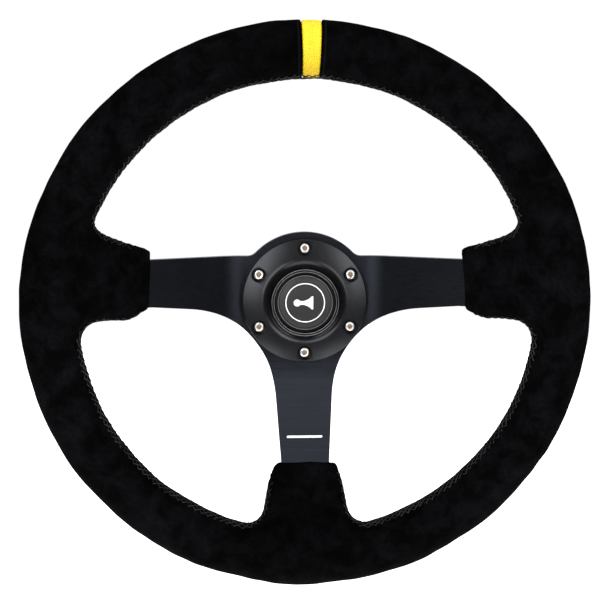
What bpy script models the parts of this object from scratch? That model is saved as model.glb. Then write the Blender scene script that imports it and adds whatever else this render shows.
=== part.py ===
"""Three-spoke deep-dish steering wheel with the wheel half of a quick-release coupler.

+Z is up, the driver sits on the -Y side and the steering column is on the +Y side.
The origin is on the wheel's axis, in the coupler's rear end face.
"""

import math

import bmesh
import bpy
import numpy as np
from mathutils import Matrix, Vector

MM = 0.001  # every size below is in millimetres, and add_mesh turns it into metres
GAP = 0.3  # clearance between pieces that touch

# Grip: an oval tube swept round the axis.
GRIP_OUTER_RADIUS = 175
GRIP_HALF_WIDTH = 17
GRIP_HALF_DEPTH = 15.5
GRIP_RADIUS = GRIP_OUTER_RADIUS - GRIP_HALF_WIDTH
SUEDE = 1.2
CORE_HALF_SIDE = 6
STRIPE_HALF_ANGLE = math.radians(1.93)
STRIPE_SEAM_ANGLE = math.radians(2.04)

# Axial stations. The plate lies between the coupler's flange and the horn ring.
COUPLER_LENGTH = 46
PLATE = 5
PLATE_BACK = -COUPLER_LENGTH - GAP
PLATE_FRONT = PLATE_BACK - PLATE
DISH = 56
GRIP_Y = PLATE_FRONT - DISH

# Spoke plate.
HUB_RADIUS = 45.3
PLATE_BORE = 23.5
ARM_SLOPE = math.radians(29)
ARM_BEND_AT = 46
ARM_BEND_RADIUS = 12
ARM_END_RADIUS = GRIP_RADIUS - CORE_HALF_SIDE - PLATE * math.sin(ARM_SLOPE) - 0.8
ARM_TOP = 29.3
ARM_TOP_AT_RIM = 31.2
ARM_LOW_AT_RIM = 2
ARM_FILLET = 8
WEB_CORNER = (22.7, -11.1)
WEB_FILLET = 66
SIDE_MOUTH = 98.5
LOWER_MOUTH = 103
SIDE_ARM_FOOT = (98, 0.0)
LOWER_ARM_FOOT = (15.5, -102)

# Wheel bolts.
BOLT_CIRCLE = 35
BOLT_COUNT = 6
BOLT_RADIUS = 2.5
BOLT_HOLE = BOLT_RADIUS + GAP
BOLT_HEAD_RADIUS = 3.8
BOLT_HEAD = 3.1
BOLT_HEAD_TOP = 5  # in front of the plate
BOLT_END = -12.3
COUNTERBORE = 4.8

# Horn ring and horn push.
RING_RADIUS = 41.2
RING_FLANGE = 7
RING_LIP = 14
RING_THROAT = 20.2
RING_SHOULDER = 5.5  # radius of the hollow sweep up to the lip
RING_RECESS_RADIUS = 27
RING_RECESS = 6.2
HOUSING_STEP = 8.9
HOUSING_BACK = -4.5
HOUSING_FLANGE_BACK = 3.7
CAP_RADIUS = 17.9
CAP_FRONT = 12.9
CAP_WALL = 1.7
TERMINAL_X = 11
TERMINAL_THICKNESS = 0.8
TERMINAL_FOOT = 1.9  # back of the terminal's foot, behind the plate's front face
HORN_TRAVEL = 2
HORN_CONTACT_FRONT = 2.5  # front of the fixed contact, before the plate

# Quick-release coupler.
FLANGE_RADIUS = 41
FLANGE = 8
BARREL_RADIUS = 23.5
BARREL_BORE = 17.5
BALL_RADIUS = 4
BALL_CIRCLE = 19.5
BALL_COUNT = 6
BALL_Y = -18
BORE_FLOOR = -34
CONTACT_BORE = 8
WIRING_ROOM = 18
CLIP_GROOVE = (-3.4, -1.6)
CLIP_DEPTH = 1.2
SEAL_RADIUS = 0.9
SEAL_Y = -3.5
COLLAR_TRAVEL = 8
BALL_TRAVEL = 2.2
COLLAR_LAND = 23.9
COLLAR_RADIUS = 29.6
COLLAR_LIP = 34.6

RIM_SEGMENTS = 48
SECTION_SEGMENTS = 12
HUB_SEGMENTS = 32
SMALL_SEGMENTS = 12


def clear_scene():
    for item in list(bpy.data.objects):
        bpy.data.objects.remove(item)


def finish(name, colour, roughness, metallic):
    material = bpy.data.materials.new(name)
    material.use_nodes = True
    shader = material.node_tree.nodes["Principled BSDF"]
    shader.inputs["Base Color"].default_value = (*colour, 1)
    shader.inputs["Roughness"].default_value = roughness
    shader.inputs["Metallic"].default_value = metallic
    return material


def add_object(name, mesh_data, material=None, smooth_below=40):
    body = bpy.data.objects.new(name, mesh_data)
    bpy.context.collection.objects.link(body)
    if material:
        mesh_data.materials.append(material)
    if isinstance(mesh_data, bpy.types.Mesh):
        mesh_data.shade_smooth()
        mesh_data.set_sharp_from_angle(angle=math.radians(smooth_below))
    return body


def add_mesh(name, shape, material=None, smooth_below=40):
    """Turns a bmesh in millimetres into an object in metres whose faces point outwards."""
    bmesh.ops.remove_doubles(shape, verts=shape.verts, dist=0.001)
    bmesh.ops.recalc_face_normals(shape, faces=shape.faces)
    bmesh.ops.scale(shape, vec=(MM, MM, MM), verts=shape.verts)
    mesh_data = bpy.data.meshes.new(name)
    shape.to_mesh(mesh_data)
    shape.free()
    return add_object(name, mesh_data, material, smooth_below)


def combine(body, operation, tools, smooth_below=40):
    """Applies a Boolean with each tool in turn, then deletes the tools."""
    for tool in tools:
        modifier = body.modifiers.new(tool.name, "BOOLEAN")
        modifier.operation = operation
        modifier.solver = "EXACT"
        modifier.object = tool
    bpy.context.view_layer.update()
    graph = bpy.context.evaluated_depsgraph_get()
    finished = bpy.data.meshes.new_from_object(body.evaluated_get(graph))
    body.modifiers.clear()
    body.data = finished
    finished.shade_smooth()
    finished.set_sharp_from_angle(angle=math.radians(smooth_below))
    for tool in tools:
        bpy.data.objects.remove(tool)
    return body


def turned(name, profile, material=None, segments=HUB_SEGMENTS):
    """Spins (radius, y) points about the Y axis; off the axis the profile is a closed loop."""
    shape = bmesh.new()
    points = [shape.verts.new((radius, y, 0)) for radius, y in profile]
    on_axis = profile[0][0] == 0 and profile[-1][0] == 0
    pairs = list(zip(points, points[1:]))
    if not on_axis:
        pairs.append((points[-1], points[0]))
    edges = [shape.edges.new(pair) for pair in pairs]
    bmesh.ops.spin(
        shape,
        geom=points + edges,
        cent=(0, 0, 0),
        axis=(0, 1, 0),
        angle=math.tau,
        steps=segments,
        use_merge=True,
    )
    return add_mesh(name, shape, material)


def arc(centre, radius, start, end, count):
    """Points of an arc, both ends included; the angles are in degrees."""
    angles = np.radians(np.linspace(start, end, count))
    return [
        (centre[0] + radius * math.cos(a), centre[1] + radius * math.sin(a))
        for a in angles
    ]


def before_plate(distance):
    """Y of a point this far in front of the plate, on the driver's side."""
    return PLATE_FRONT - distance


def from_plate(profile):
    """Turns (radius, distance before the plate) points into (radius, y) points."""
    return [(radius, before_plate(distance)) for radius, distance in profile]


def washer(name, inner, outer, back, front, material):
    """A flat ring between two distances before the plate."""
    profile = [(inner, back), (outer, back), (outer, front), (inner, front)]
    return turned(name, from_plate(profile), material)


def around(count, radius, first=90.0):
    """Evenly spaced points on a circle in the XZ plane, as (x, z, angle)."""
    for index in range(count):
        angle = math.radians(first + 360 * index / count)
        yield radius * math.cos(angle), radius * math.sin(angle), angle


def rod(name, x, z, radius, y_low, y_high, material=None, segments=SMALL_SEGMENTS):
    """A straight cylinder along Y."""
    body = turned(
        name, [(0, y_low), (radius, y_low), (radius, y_high), (0, y_high)], material, segments
    )
    return place(body, x, z)


def place(body, x, z):
    body.location = (x * MM, 0, z * MM)
    return body


def block(name, low, high, material=None):
    shape = bmesh.new()
    bmesh.ops.create_cube(shape, size=1)
    size = Vector(high) - Vector(low)
    bmesh.ops.scale(shape, vec=size, verts=shape.verts)
    bmesh.ops.translate(shape, vec=(Vector(low) + Vector(high)) / 2, verts=shape.verts)
    return add_mesh(name, shape, material)


def prism(name, outline, y_low, y_high, material=None):
    """Extrudes an (x, z) outline along Y."""
    shape = bmesh.new()
    face = shape.faces.new([shape.verts.new((x, y_low, z)) for x, z in outline])
    grown = bmesh.ops.extrude_face_region(shape, geom=[face])["geom"]
    moved = [item for item in grown if isinstance(item, bmesh.types.BMVert)]
    bmesh.ops.translate(shape, vec=(0, y_high - y_low, 0), verts=moved)
    return add_mesh(name, shape, material)


def loft(name, sections, material=None):
    """Skins a row of closed sections that have the same number of points."""
    shape = bmesh.new()
    rings = [[shape.verts.new(point) for point in section] for section in sections]
    for ring, after in zip(rings, rings[1:]):
        for i, corner in enumerate(ring):
            j = (i + 1) % len(ring)
            shape.faces.new((corner, ring[j], after[j], after[i]))
    shape.faces.new(rings[0])
    shape.faces.new(rings[-1])
    return add_mesh(name, shape, material)


def helix(name, radius, wire, turns, y_low, y_high, material, points_per_turn):
    """A coil spring about the Y axis, with a nearly closed turn at each end."""
    count = int(turns * points_per_turn) + 1
    curve = bpy.data.curves.new(name, "CURVE")
    curve.dimensions = "3D"
    curve.bevel_depth = wire * MM
    curve.bevel_resolution = 1
    curve.use_fill_caps = True
    curve.materials.append(material)
    spline = curve.splines.new("POLY")
    spline.points.add(count - 1)
    end_turn, end_pitch = 0.9, 2.3 * wire
    length = y_high - y_low - 2 * wire
    pitch = (length - 2 * end_turn * end_pitch) / (turns - 2 * end_turn)
    for index, point in enumerate(spline.points):
        turn = index / points_per_turn
        open_turns = min(max(turn - end_turn, 0), turns - 2 * end_turn)
        y = y_low + wire + end_pitch * (turn - open_turns) + pitch * open_turns
        angle = math.tau * turn
        on_wire = Vector((radius * math.cos(angle), y, radius * math.sin(angle))) * MM
        point.co = (*on_wire, 1)
    return add_object(name, curve)


# ---- Spoke plate -----------------------------------------------------------------------


def bend_stations():
    """Distance from the axis, front face Y and tilt at each fold line of an arm."""
    half = ARM_BEND_RADIUS * math.tan(ARM_SLOPE / 2)
    start = ARM_BEND_AT - half
    tilts = np.linspace(0, ARM_SLOPE, 5)
    distances = start + ARM_BEND_RADIUS * np.sin(tilts)
    fronts = PLATE_FRONT - ARM_BEND_RADIUS * (1 - np.cos(tilts))
    return distances, fronts, tilts


def arm_surface(distance):
    """Front face Y and tilt of an arm at this distance from the axis."""
    distances, fronts, tilts = bend_stations()
    front = float(np.interp(distance, distances, fronts))
    beyond = max(distance - distances[-1], 0)
    shift_out = float(np.interp(distance, distances, np.sin(tilts)))
    shift_back = float(np.interp(distance, distances, np.cos(tilts)))
    return front - beyond * math.tan(ARM_SLOPE), shift_out, shift_back


def fillet(before, corner, after, radius, count):
    """Arc that rounds an outline's corner, from the first edge to the second."""
    corner = Vector(corner)
    first = (Vector(before) - corner).normalized()
    second = (Vector(after) - corner).normalized()
    half_angle = first.angle(second) / 2
    centre = corner + (first + second).normalized() * radius / math.sin(half_angle)
    start = corner + first * radius / math.tan(half_angle) - centre
    end = corner + second * radius / math.tan(half_angle) - centre
    sweep = start.angle_signed(end)
    turn = math.atan2(start.y, start.x)
    return [
        (centre.x + radius * math.cos(turn - sweep * k / (count - 1)),
         centre.y + radius * math.sin(turn - sweep * k / (count - 1)))
        for k in range(count)
    ]


def right_half_outline():
    """The plate's edge from twelve o'clock round to six o'clock, on the +X side."""
    reach = HUB_RADIUS + ARM_FILLET
    rise = ARM_TOP + ARM_FILLET
    blend_x = math.sqrt(reach**2 - rise**2)
    blend_angle = math.degrees(math.atan2(rise, blend_x))
    hub = arc((0, 0), HUB_RADIUS, 90, blend_angle, 8)
    blend = arc((blend_x, rise), ARM_FILLET, 180 + blend_angle, 270, 5)[1:]
    top_angle = math.degrees(math.asin(ARM_TOP_AT_RIM / ARM_END_RADIUS))
    low_angle = math.degrees(math.asin(ARM_LOW_AT_RIM / ARM_END_RADIUS))
    side_end = arc((0, 0), ARM_END_RADIUS, top_angle, low_angle, 4)
    web = fillet(SIDE_ARM_FOOT, WEB_CORNER, LOWER_ARM_FOOT, WEB_FILLET, 12)
    lower_angle = -math.degrees(math.acos(LOWER_ARM_FOOT[0] / ARM_END_RADIUS))
    lower_end = arc((0, 0), ARM_END_RADIUS, lower_angle, -90, 3)
    return hub + blend + side_end + [SIDE_ARM_FOOT] + web + [LOWER_ARM_FOOT] + lower_end


def spoke_plate(material):
    half = right_half_outline()
    outline = half + [(-x, z) for x, z in reversed(half[1:-1])]
    shape = bmesh.new()
    shape.faces.new([shape.verts.new((x, 0, z)) for x, z in outline])
    for distance in bend_stations()[0]:
        for direction in ((1, 0, 0), (-1, 0, 0), (0, 0, -1)):
            normal = Vector(direction)
            everything = shape.verts[:] + shape.edges[:] + shape.faces[:]
            bmesh.ops.bisect_plane(
                shape, geom=everything, plane_co=normal * distance, plane_no=normal
            )
    front = shape.verts[:]
    grown = bmesh.ops.extrude_face_region(shape, geom=shape.faces[:])["geom"]
    back = [item for item in grown if isinstance(item, bmesh.types.BMVert)]
    for corner in front:
        fold_corner(corner, 0)
    for corner in back:
        fold_corner(corner, PLATE)
    plate = add_mesh("spoke_frame", shape, material)
    tools = [rod("bore", 0, 0, PLATE_BORE, PLATE_FRONT - PLATE, 0, None, HUB_SEGMENTS)]
    for x, z, _ in around(BOLT_COUNT, BOLT_CIRCLE):
        tools.append(rod("hole", x, z, BOLT_HOLE, PLATE_FRONT - PLATE, 0))
    return combine(plate, "DIFFERENCE", tools, 20)


def fold_corner(corner, depth):
    """Lifts a flat corner of the plate onto its bent front or back face."""
    x, z = corner.co.x, corner.co.z
    side = abs(x) > bend_stations()[0][0]
    front, shift_out, shift_back = arm_surface(abs(x) if side else max(-z, 0))
    corner.co.y = front + depth * shift_back
    if side:
        corner.co.x = x + math.copysign(depth * shift_out, x)
    else:
        corner.co.z = z - depth * shift_out


# ---- Grip ------------------------------------------------------------------------------


def place_on_arm(arm, out, across, y):
    """World point from distance along an arm, distance across it and Y."""
    if arm == "lower":
        return (across, y, -out)
    return (out if arm == "right" else -out, y, across)


# Sleeve sections: distance along the arm, low and high edge across it, centre in front
# of the grip's middle plane (negative is behind it) and half thickness.
SIDE_SLEEVE = (
    (98.5, -1.8, 38, -29.8, 4.6),
    (104, -4.4, 39.8, -26.8, 5.3),
    (112, -7.6, 42, -22.4, 6.6),
    (122, -6.6, 45.2, -17.2, 8.4),
    (134, -6.2, 52, -9.5, 9.8),
    (148, -9, 60, -1.5, 9.5),
)
LOWER_SLEEVE = (
    (103, -19.6, 19.6, -27.3, 4.6),
    (108, -21.6, 21.6, -24.6, 5.4),
    (115, -23.8, 23.8, -20.8, 6.8),
    (124, -25.5, 25.5, -16, 8.6),
    (135, -28, 28, -9.2, 9.8),
    (148, -33, 33, -1.5, 9.5),
)
SECTION_CORNERS = (
    (-1, -0.55), (-0.9, -1), (0.9, -1), (1, -0.55), (1, 0.55), (0.9, 1), (-0.9, 1), (-1, 0.55)
)


def sleeve(arm, shrink, starts_at=0.0):
    """The thick end of an arm inside the grip, drawn in by shrink on every side."""
    table = LOWER_SLEEVE if arm == "lower" else SIDE_SLEEVE
    columns = list(zip(*table))
    first = max(starts_at, columns[0][0])
    outs = [first] + [out for out in columns[0] if out > first + 1]
    sections = []
    for out in outs:
        low, high, ahead, half = (np.interp(out, columns[0], values) for values in columns[1:])
        middle, reach = (low + high) / 2, (high - low) / 2 - shrink
        section = [
            place_on_arm(arm, out, middle + side * reach, GRIP_Y - ahead + face * (half - shrink))
            for side, face in SECTION_CORNERS
        ]
        sections.append(section)
    return loft("sleeve", sections)


def arm_tool(arm, grow):
    """The part of an arm that the grip covers, made larger by grow on every side."""
    if arm == "lower":
        edges = ((-LOWER_ARM_FOOT[0], LOWER_ARM_FOOT[0]), (-LOWER_ARM_FOOT[0], LOWER_ARM_FOOT[0]))
        foot = -LOWER_ARM_FOOT[1]
    else:
        edges = ((-0.9, (ARM_TOP + ARM_TOP_AT_RIM) / 2), (ARM_LOW_AT_RIM, ARM_TOP_AT_RIM))
        foot = SIDE_ARM_FOOT[0]
    outs = (foot - PLATE, GRIP_RADIUS)
    sections = []
    for out, (low, high) in zip(outs, edges):
        front, shift_out, shift_back = arm_surface(out)
        section = []
        for across, depth in (
            (low - grow, -grow),
            (high + grow, -grow),
            (high + grow, PLATE + grow),
            (low - grow, PLATE + grow),
        ):
            section.append(
                place_on_arm(arm, out + depth * shift_out, across, front + depth * shift_back)
            )
        sections.append(section)
    return loft("arm", sections)


ARMS = ("right", "left", "lower")


def oval_ring(name, half_width, half_depth, material=None, sides=SECTION_SEGMENTS):
    profile = [
        (GRIP_RADIUS + half_width * math.cos(a), GRIP_Y + half_depth * math.sin(a))
        for a in np.linspace(0, math.tau, sides, endpoint=False)
    ]
    return turned(name, profile, material, RIM_SEGMENTS)


def grip_shape(name, shrink, material=None, mouth_inset=0.0):
    """The grip's outside, drawn in by shrink, with its three sleeves."""
    ring = oval_ring(name, GRIP_HALF_WIDTH - shrink, GRIP_HALF_DEPTH - shrink, material)
    sleeves = []
    for arm in ARMS:
        mouth = LOWER_MOUTH if arm == "lower" else SIDE_MOUTH
        sleeves.append(sleeve(arm, shrink, mouth + mouth_inset if mouth_inset else 0.0))
    return combine(ring, "UNION", sleeves)


def stripe_wedge(half_angle):
    """A sector at twelve o'clock, wide enough in Y to cut right through the grip."""
    reach = GRIP_OUTER_RADIUS * 1.1
    inner = GRIP_RADIUS - GRIP_HALF_WIDTH * 1.3
    outline = [
        (side * radius * math.tan(half_angle), radius)
        for side, radius in ((-1, inner), (-1, reach), (1, reach), (1, inner))
    ]
    return prism("wedge", outline, GRIP_Y - 2 * GRIP_HALF_DEPTH, GRIP_Y + 2 * GRIP_HALF_DEPTH)


FOAM_INSET = SUEDE + GAP
FOAM_MOUTH_INSET = 6


def core_section(half_side):
    """The rim's square bar with its corners cut off."""
    corners = (1, 0.5), (0.5, 1), (-0.5, 1), (-1, 0.5), (-1, -0.5), (-0.5, -1), (0.5, -1), (1, -0.5)
    return [(GRIP_RADIUS + half_side * side, GRIP_Y + half_side * face) for side, face in corners]


def build_grip():
    metal = finish("rim_steel", (0.05, 0.05, 0.055), 0.5, 0.9)
    foam_look = finish("foam", (0.02, 0.02, 0.02), 0.95, 0)
    suede_look = finish("suede", (0.012, 0.012, 0.014), 1.0, 0)
    stripe_look = finish("stripe_leather", (0.85, 0.5, 0.03), 0.5, 0)

    turned("rim_core", core_section(CORE_HALF_SIDE), metal, RIM_SEGMENTS)
    foam = grip_shape("grip_foam", FOAM_INSET, foam_look, FOAM_MOUTH_INSET + GAP)
    arms = [arm_tool(arm, GAP) for arm in ARMS]
    room = turned("core_room", core_section(CORE_HALF_SIDE + GAP * 1.5), None, RIM_SEGMENTS)
    combine(foam, "DIFFERENCE", arms + [room])

    cover = grip_shape("grip_suede", 0.0, suede_look)
    inside = grip_shape("inside", SUEDE, None, FOAM_MOUTH_INSET)
    arms = [arm_tool(arm, GAP) for arm in ARMS]
    combine(cover, "DIFFERENCE", [inside] + arms + [stripe_wedge(STRIPE_SEAM_ANGLE)])

    stripe = oval_ring("centre_stripe", GRIP_HALF_WIDTH, GRIP_HALF_DEPTH, stripe_look)
    combine(stripe, "DIFFERENCE", [oval_ring("hollow", GRIP_HALF_WIDTH - SUEDE, GRIP_HALF_DEPTH - SUEDE)])
    combine(stripe, "INTERSECT", [stripe_wedge(STRIPE_HALF_ANGLE)])


# ---- Horn ring, bolts and horn push ----------------------------------------------------


def build_horn_ring():
    black = finish("black_anodised", (0.03, 0.03, 0.033), 0.35, 0.8)
    lip_outer = RING_THROAT + 3.2
    shoulder = arc((lip_outer + RING_SHOULDER, RING_FLANGE + RING_SHOULDER), RING_SHOULDER, -90, -180, 5)
    profile = [
        (RING_RECESS_RADIUS, GAP),
        (RING_RADIUS, GAP),
        (RING_RADIUS, RING_FLANGE - 0.6),
        (RING_RADIUS - 0.6, RING_FLANGE),
        *shoulder,
        (lip_outer - 0.3, RING_LIP - 0.5),
        (lip_outer - 1, RING_LIP),
        (RING_THROAT + 0.8, RING_LIP),
        (RING_THROAT, RING_LIP - 0.7),
        (RING_THROAT, HOUSING_STEP + GAP),
        (RING_THROAT + 1.8, HOUSING_STEP + GAP),
        (RING_THROAT + 1.8, RING_RECESS),
        (RING_RECESS_RADIUS, RING_RECESS),
    ]
    ring = turned("horn_ring", from_plate(profile), black)
    tools = []
    seat = before_plate(BOLT_HEAD_TOP - BOLT_HEAD - GAP)
    front = before_plate(RING_LIP)
    stepped = [
        (0, front),
        (COUNTERBORE, front),
        (COUNTERBORE, seat),
        (BOLT_HOLE, seat),
        (BOLT_HOLE, PLATE_FRONT),
        (0, PLATE_FRONT),
    ]
    for x, z, _ in around(BOLT_COUNT, BOLT_CIRCLE):
        tools.append(place(turned("counterbore", stepped, None, SMALL_SEGMENTS), x, z))
    combine(ring, "DIFFERENCE", tools, 30)


def build_bolts():
    steel = finish("bolt_steel", (0.75, 0.75, 0.76), 0.25, 1.0)
    top = before_plate(BOLT_HEAD_TOP)
    under = before_plate(BOLT_HEAD_TOP - BOLT_HEAD)
    tip = before_plate(BOLT_END)
    edge = 0.7
    hexagon = [(1.73 * math.cos(a), 1.73 * math.sin(a)) for a in np.radians(range(0, 360, 60))]
    for index, (x, z, _) in enumerate(around(BOLT_COUNT, BOLT_CIRCLE)):
        profile = [
            (0, top),
            (BOLT_HEAD_RADIUS - edge, top),
            (BOLT_HEAD_RADIUS - edge * 0.3, top + edge * 0.3),
            (BOLT_HEAD_RADIUS, top + edge),
            (BOLT_HEAD_RADIUS, under),
            (BOLT_RADIUS, under),
            (BOLT_RADIUS, tip - 0.6),
            (BOLT_RADIUS - 0.6, tip),
            (0, tip),
        ]
        bolt = turned(f"wheel_bolt_{index + 1}", profile, steel, SMALL_SEGMENTS)
        combine(bolt, "DIFFERENCE", [prism("socket", hexagon, top - 1, top + 1.8)], 30)
        place(bolt, x, z)


def build_horn_push():
    plastic = finish("black_plastic", (0.02, 0.02, 0.02), 0.4, 0)
    emblem = finish("emblem_print", (0.05, 0.05, 0.055), 0.3, 0)
    brass = finish("brass", (0.7, 0.5, 0.2), 0.3, 1.0)
    rubber = finish("rubber", (0.02, 0.02, 0.02), 0.8, 0)
    spring = finish("spring_steel", (0.5, 0.5, 0.5), 0.3, 1.0)

    neck = RING_THROAT - GAP
    body = neck + 1.8
    flange = RING_RECESS_RADIUS - 0.4
    guide = CAP_RADIUS + GAP
    chamber = guide + 1
    cap_stop = CAP_FRONT - 5.6
    ledge = HORN_CONTACT_FRONT - 1.3
    floor = HOUSING_BACK + 1.6
    housing_profile = [
        (0, HOUSING_BACK),
        (body, HOUSING_BACK),
        (body, HOUSING_FLANGE_BACK),
        (flange, HOUSING_FLANGE_BACK),
        (flange, RING_RECESS - GAP),
        (body, RING_RECESS - GAP),
        (body, HOUSING_STEP),
        (neck, HOUSING_STEP),
        (neck, RING_LIP - 1.3),
        (guide, RING_LIP - 1.3),
        (guide, cap_stop),
        (chamber, cap_stop),
        (chamber, ledge),
        (15, ledge),
        (15, floor),
        (0, floor),
    ]
    housing = turned("horn_housing", from_plate(housing_profile), plastic)
    slots = [
        block(
            "slot",
            (x - 0.7, before_plate(floor + 1), -3.5),
            (x + 0.7, before_plate(HOUSING_BACK - 1), 3.5),
        )
        for x in (-TERMINAL_X, TERMINAL_X)
    ]
    combine(housing, "DIFFERENCE", slots, 30)
    washer("horn_gasket", body + 0.4, flange, GAP, HOUSING_FLANGE_BACK - GAP, rubber)

    recess = CAP_RADIUS - 1.4
    recess_floor = CAP_FRONT - 0.8
    under_roof = recess_floor - 1.6
    skirt_end = cap_stop - 1.7
    cap_profile = [
        (0, recess_floor),
        (recess, recess_floor),
        (recess, CAP_FRONT),
        (CAP_RADIUS - 0.7, CAP_FRONT),
        (CAP_RADIUS, CAP_FRONT - 0.7),
        (CAP_RADIUS, cap_stop - GAP),
        (CAP_RADIUS + 1, cap_stop - GAP),
        (CAP_RADIUS + 1, skirt_end),
        (CAP_RADIUS - CAP_WALL, skirt_end),
        (CAP_RADIUS - CAP_WALL, under_roof),
        (0, under_roof),
    ]
    turned("horn_cap", from_plate(cap_profile), plastic)
    emblem_back = recess_floor + GAP
    emblem_radius = recess - GAP
    emblem_profile = [
        (0, emblem_back + 1),
        (emblem_radius * 0.5, emblem_back + 0.9),
        (emblem_radius - 0.4, emblem_back + 0.5),
        (emblem_radius, emblem_back + 0.2),
        (emblem_radius, emblem_back),
        (0, emblem_back),
    ]
    turned("horn_emblem", from_plate(emblem_profile), emblem)
    moving_back = HORN_CONTACT_FRONT + HORN_TRAVEL + 0.2
    washer("horn_contact_moving", 10, chamber - 0.6, moving_back, skirt_end - GAP, brass)
    fixed_back = HORN_CONTACT_FRONT - 1
    washer("horn_contact_fixed", 15.4, chamber - GAP, fixed_back, HORN_CONTACT_FRONT, brass)
    spring_ends = before_plate(under_roof - GAP), before_plate(floor + GAP)
    helix("horn_spring", 8, 0.5, 4.5, *spring_ends, spring, 9)
    blade = [(-3.1, -0.2), (3.1, -0.2), (3.1, 8), (1.9, 9.8), (-1.9, 9.8), (-3.1, 8)]
    for name, x in (("horn_terminal_live", -TERMINAL_X), ("horn_terminal_earth", TERMINAL_X)):
        shape = bmesh.new()
        corners = [
            shape.verts.new(
                (x - TERMINAL_THICKNESS / 2, before_plate(-(along + TERMINAL_FOOT)), across)
            )
            for across, along in blade
        ]
        grown = bmesh.ops.extrude_face_region(shape, geom=[shape.faces.new(corners)])["geom"]
        moved = [item for item in grown if isinstance(item, bmesh.types.BMVert)]
        bmesh.ops.translate(shape, vec=(TERMINAL_THICKNESS, 0, 0), verts=moved)
        add_mesh(name, shape, brass)


# ---- Quick-release coupler --------------------------------------------------------------


def build_coupler():
    black = finish("coupler_black", (0.025, 0.025, 0.028), 0.35, 0.8)
    steel = finish("hardened_steel", (0.4, 0.4, 0.42), 0.35, 1.0)
    flange_back = -COUPLER_LENGTH + FLANGE
    edge = 0.6
    profile = [
        (WIRING_ROOM, -COUPLER_LENGTH),
        (FLANGE_RADIUS - edge, -COUPLER_LENGTH),
        (FLANGE_RADIUS, -COUPLER_LENGTH + edge),
        (FLANGE_RADIUS, flange_back - edge),
        (FLANGE_RADIUS - edge, flange_back),
        (BARREL_RADIUS + edge, flange_back),
        (BARREL_RADIUS, flange_back + edge),
        (BARREL_RADIUS, CLIP_GROOVE[0]),
        (BARREL_RADIUS - CLIP_DEPTH, CLIP_GROOVE[0]),
        (BARREL_RADIUS - CLIP_DEPTH, CLIP_GROOVE[1]),
        (BARREL_RADIUS, CLIP_GROOVE[1]),
        (BARREL_RADIUS, -edge),
        (BARREL_RADIUS - edge, 0),
        (BARREL_BORE + edge, 0),
        (BARREL_BORE, -edge),
        (BARREL_BORE, SEAL_Y + SEAL_RADIUS + GAP),
        (BARREL_BORE + 1.6, SEAL_Y + SEAL_RADIUS + GAP),
        (BARREL_BORE + 1.6, SEAL_Y - SEAL_RADIUS - GAP),
        (BARREL_BORE, SEAL_Y - SEAL_RADIUS - GAP),
        (BARREL_BORE, BORE_FLOOR),
        (CONTACT_BORE, BORE_FLOOR),
        (CONTACT_BORE, flange_back),
        (WIRING_ROOM, flange_back),
    ]
    body = turned("coupler_body", profile, black)
    tools = []
    for x, z, _ in around(BOLT_COUNT, BOLT_CIRCLE):
        tools.append(rod("hole", x, z, BOLT_HOLE, -COUPLER_LENGTH - 1, flange_back + 1))
    for _, _, angle in around(BALL_COUNT, 0):
        tools.append(ball_pocket(angle))
    combine(body, "DIFFERENCE", tools, 30)
    build_drive_spline(steel)
    build_contacts()
    build_balls()
    build_collar()


def ball_pocket(angle):
    """Radial hole that tapers in towards the bore, so that the ball can't fall through."""
    mouth = BALL_RADIUS + 0.25
    neck = BALL_RADIUS - GAP
    profile = [
        (0, BARREL_BORE - 0.5),
        (neck, BARREL_BORE - 0.5),
        (neck, BARREL_BORE - 0.2),
        (mouth, BARREL_BORE + 1.5),
        (mouth, BARREL_RADIUS + 1.5),
        (0, BARREL_RADIUS + 1.5),
    ]
    pocket = turned("pocket", profile, None, SMALL_SEGMENTS)
    pocket.data.transform(Matrix.Rotation(math.pi / SMALL_SEGMENTS, 4, "Y"))
    return aim(pocket, angle, 0, BALL_Y)


def aim(body, angle, distance, y):
    """Turns a piece made along Y to point outwards from the wheel's axis."""
    out = Vector((math.cos(angle), 0, math.sin(angle)))
    body.rotation_mode = "QUATERNION"
    body.rotation_quaternion = Vector((0, 1, 0)).rotation_difference(out)
    body.location = (out * distance + Vector((0, y, 0))) * MM
    return body


def build_drive_spline(steel):
    teeth, tip, root = 12, 12.4, 14.4
    low, high = BORE_FLOOR + GAP, BORE_FLOOR + 7.7
    blank = [(tip - 1, low), (BARREL_BORE - GAP, low), (BARREL_BORE - GAP, high), (tip - 1, high)]
    spline = turned("drive_spline", blank, steel)
    outline = []
    for _, _, angle in around(teeth, 0):
        for radius, offset in ((root, -6.5), (root, 6.5), (tip, 9), (tip, 21)):
            turn = angle + math.radians(offset)
            outline.append((radius * math.cos(turn), radius * math.sin(turn)))
    combine(spline, "DIFFERENCE", [prism("teeth", outline, low - 1, high + 1)], 30)


def build_contacts():
    insulator = finish("nylon", (0.75, 0.73, 0.68), 0.5, 0)
    brass = bpy.data.materials["brass"]
    web_front = FLANGE - COUPLER_LENGTH
    pin_ends = web_front - 3, BORE_FLOOR + 5
    disc = rod(
        "contact_insulator", 0, 0, CONTACT_BORE - GAP, web_front + GAP, BORE_FLOOR - GAP, insulator, 24
    )
    pins = (("contact_pin_live", -3.5), ("contact_pin_earth", 3.5))
    holes = [rod("hole", x, 0, 1.2 + GAP, *pin_ends) for _, x in pins]
    combine(disc, "DIFFERENCE", holes, 30)
    for name, x in pins:
        rod(name, x, 0, 1.2, *pin_ends, brass)


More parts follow.
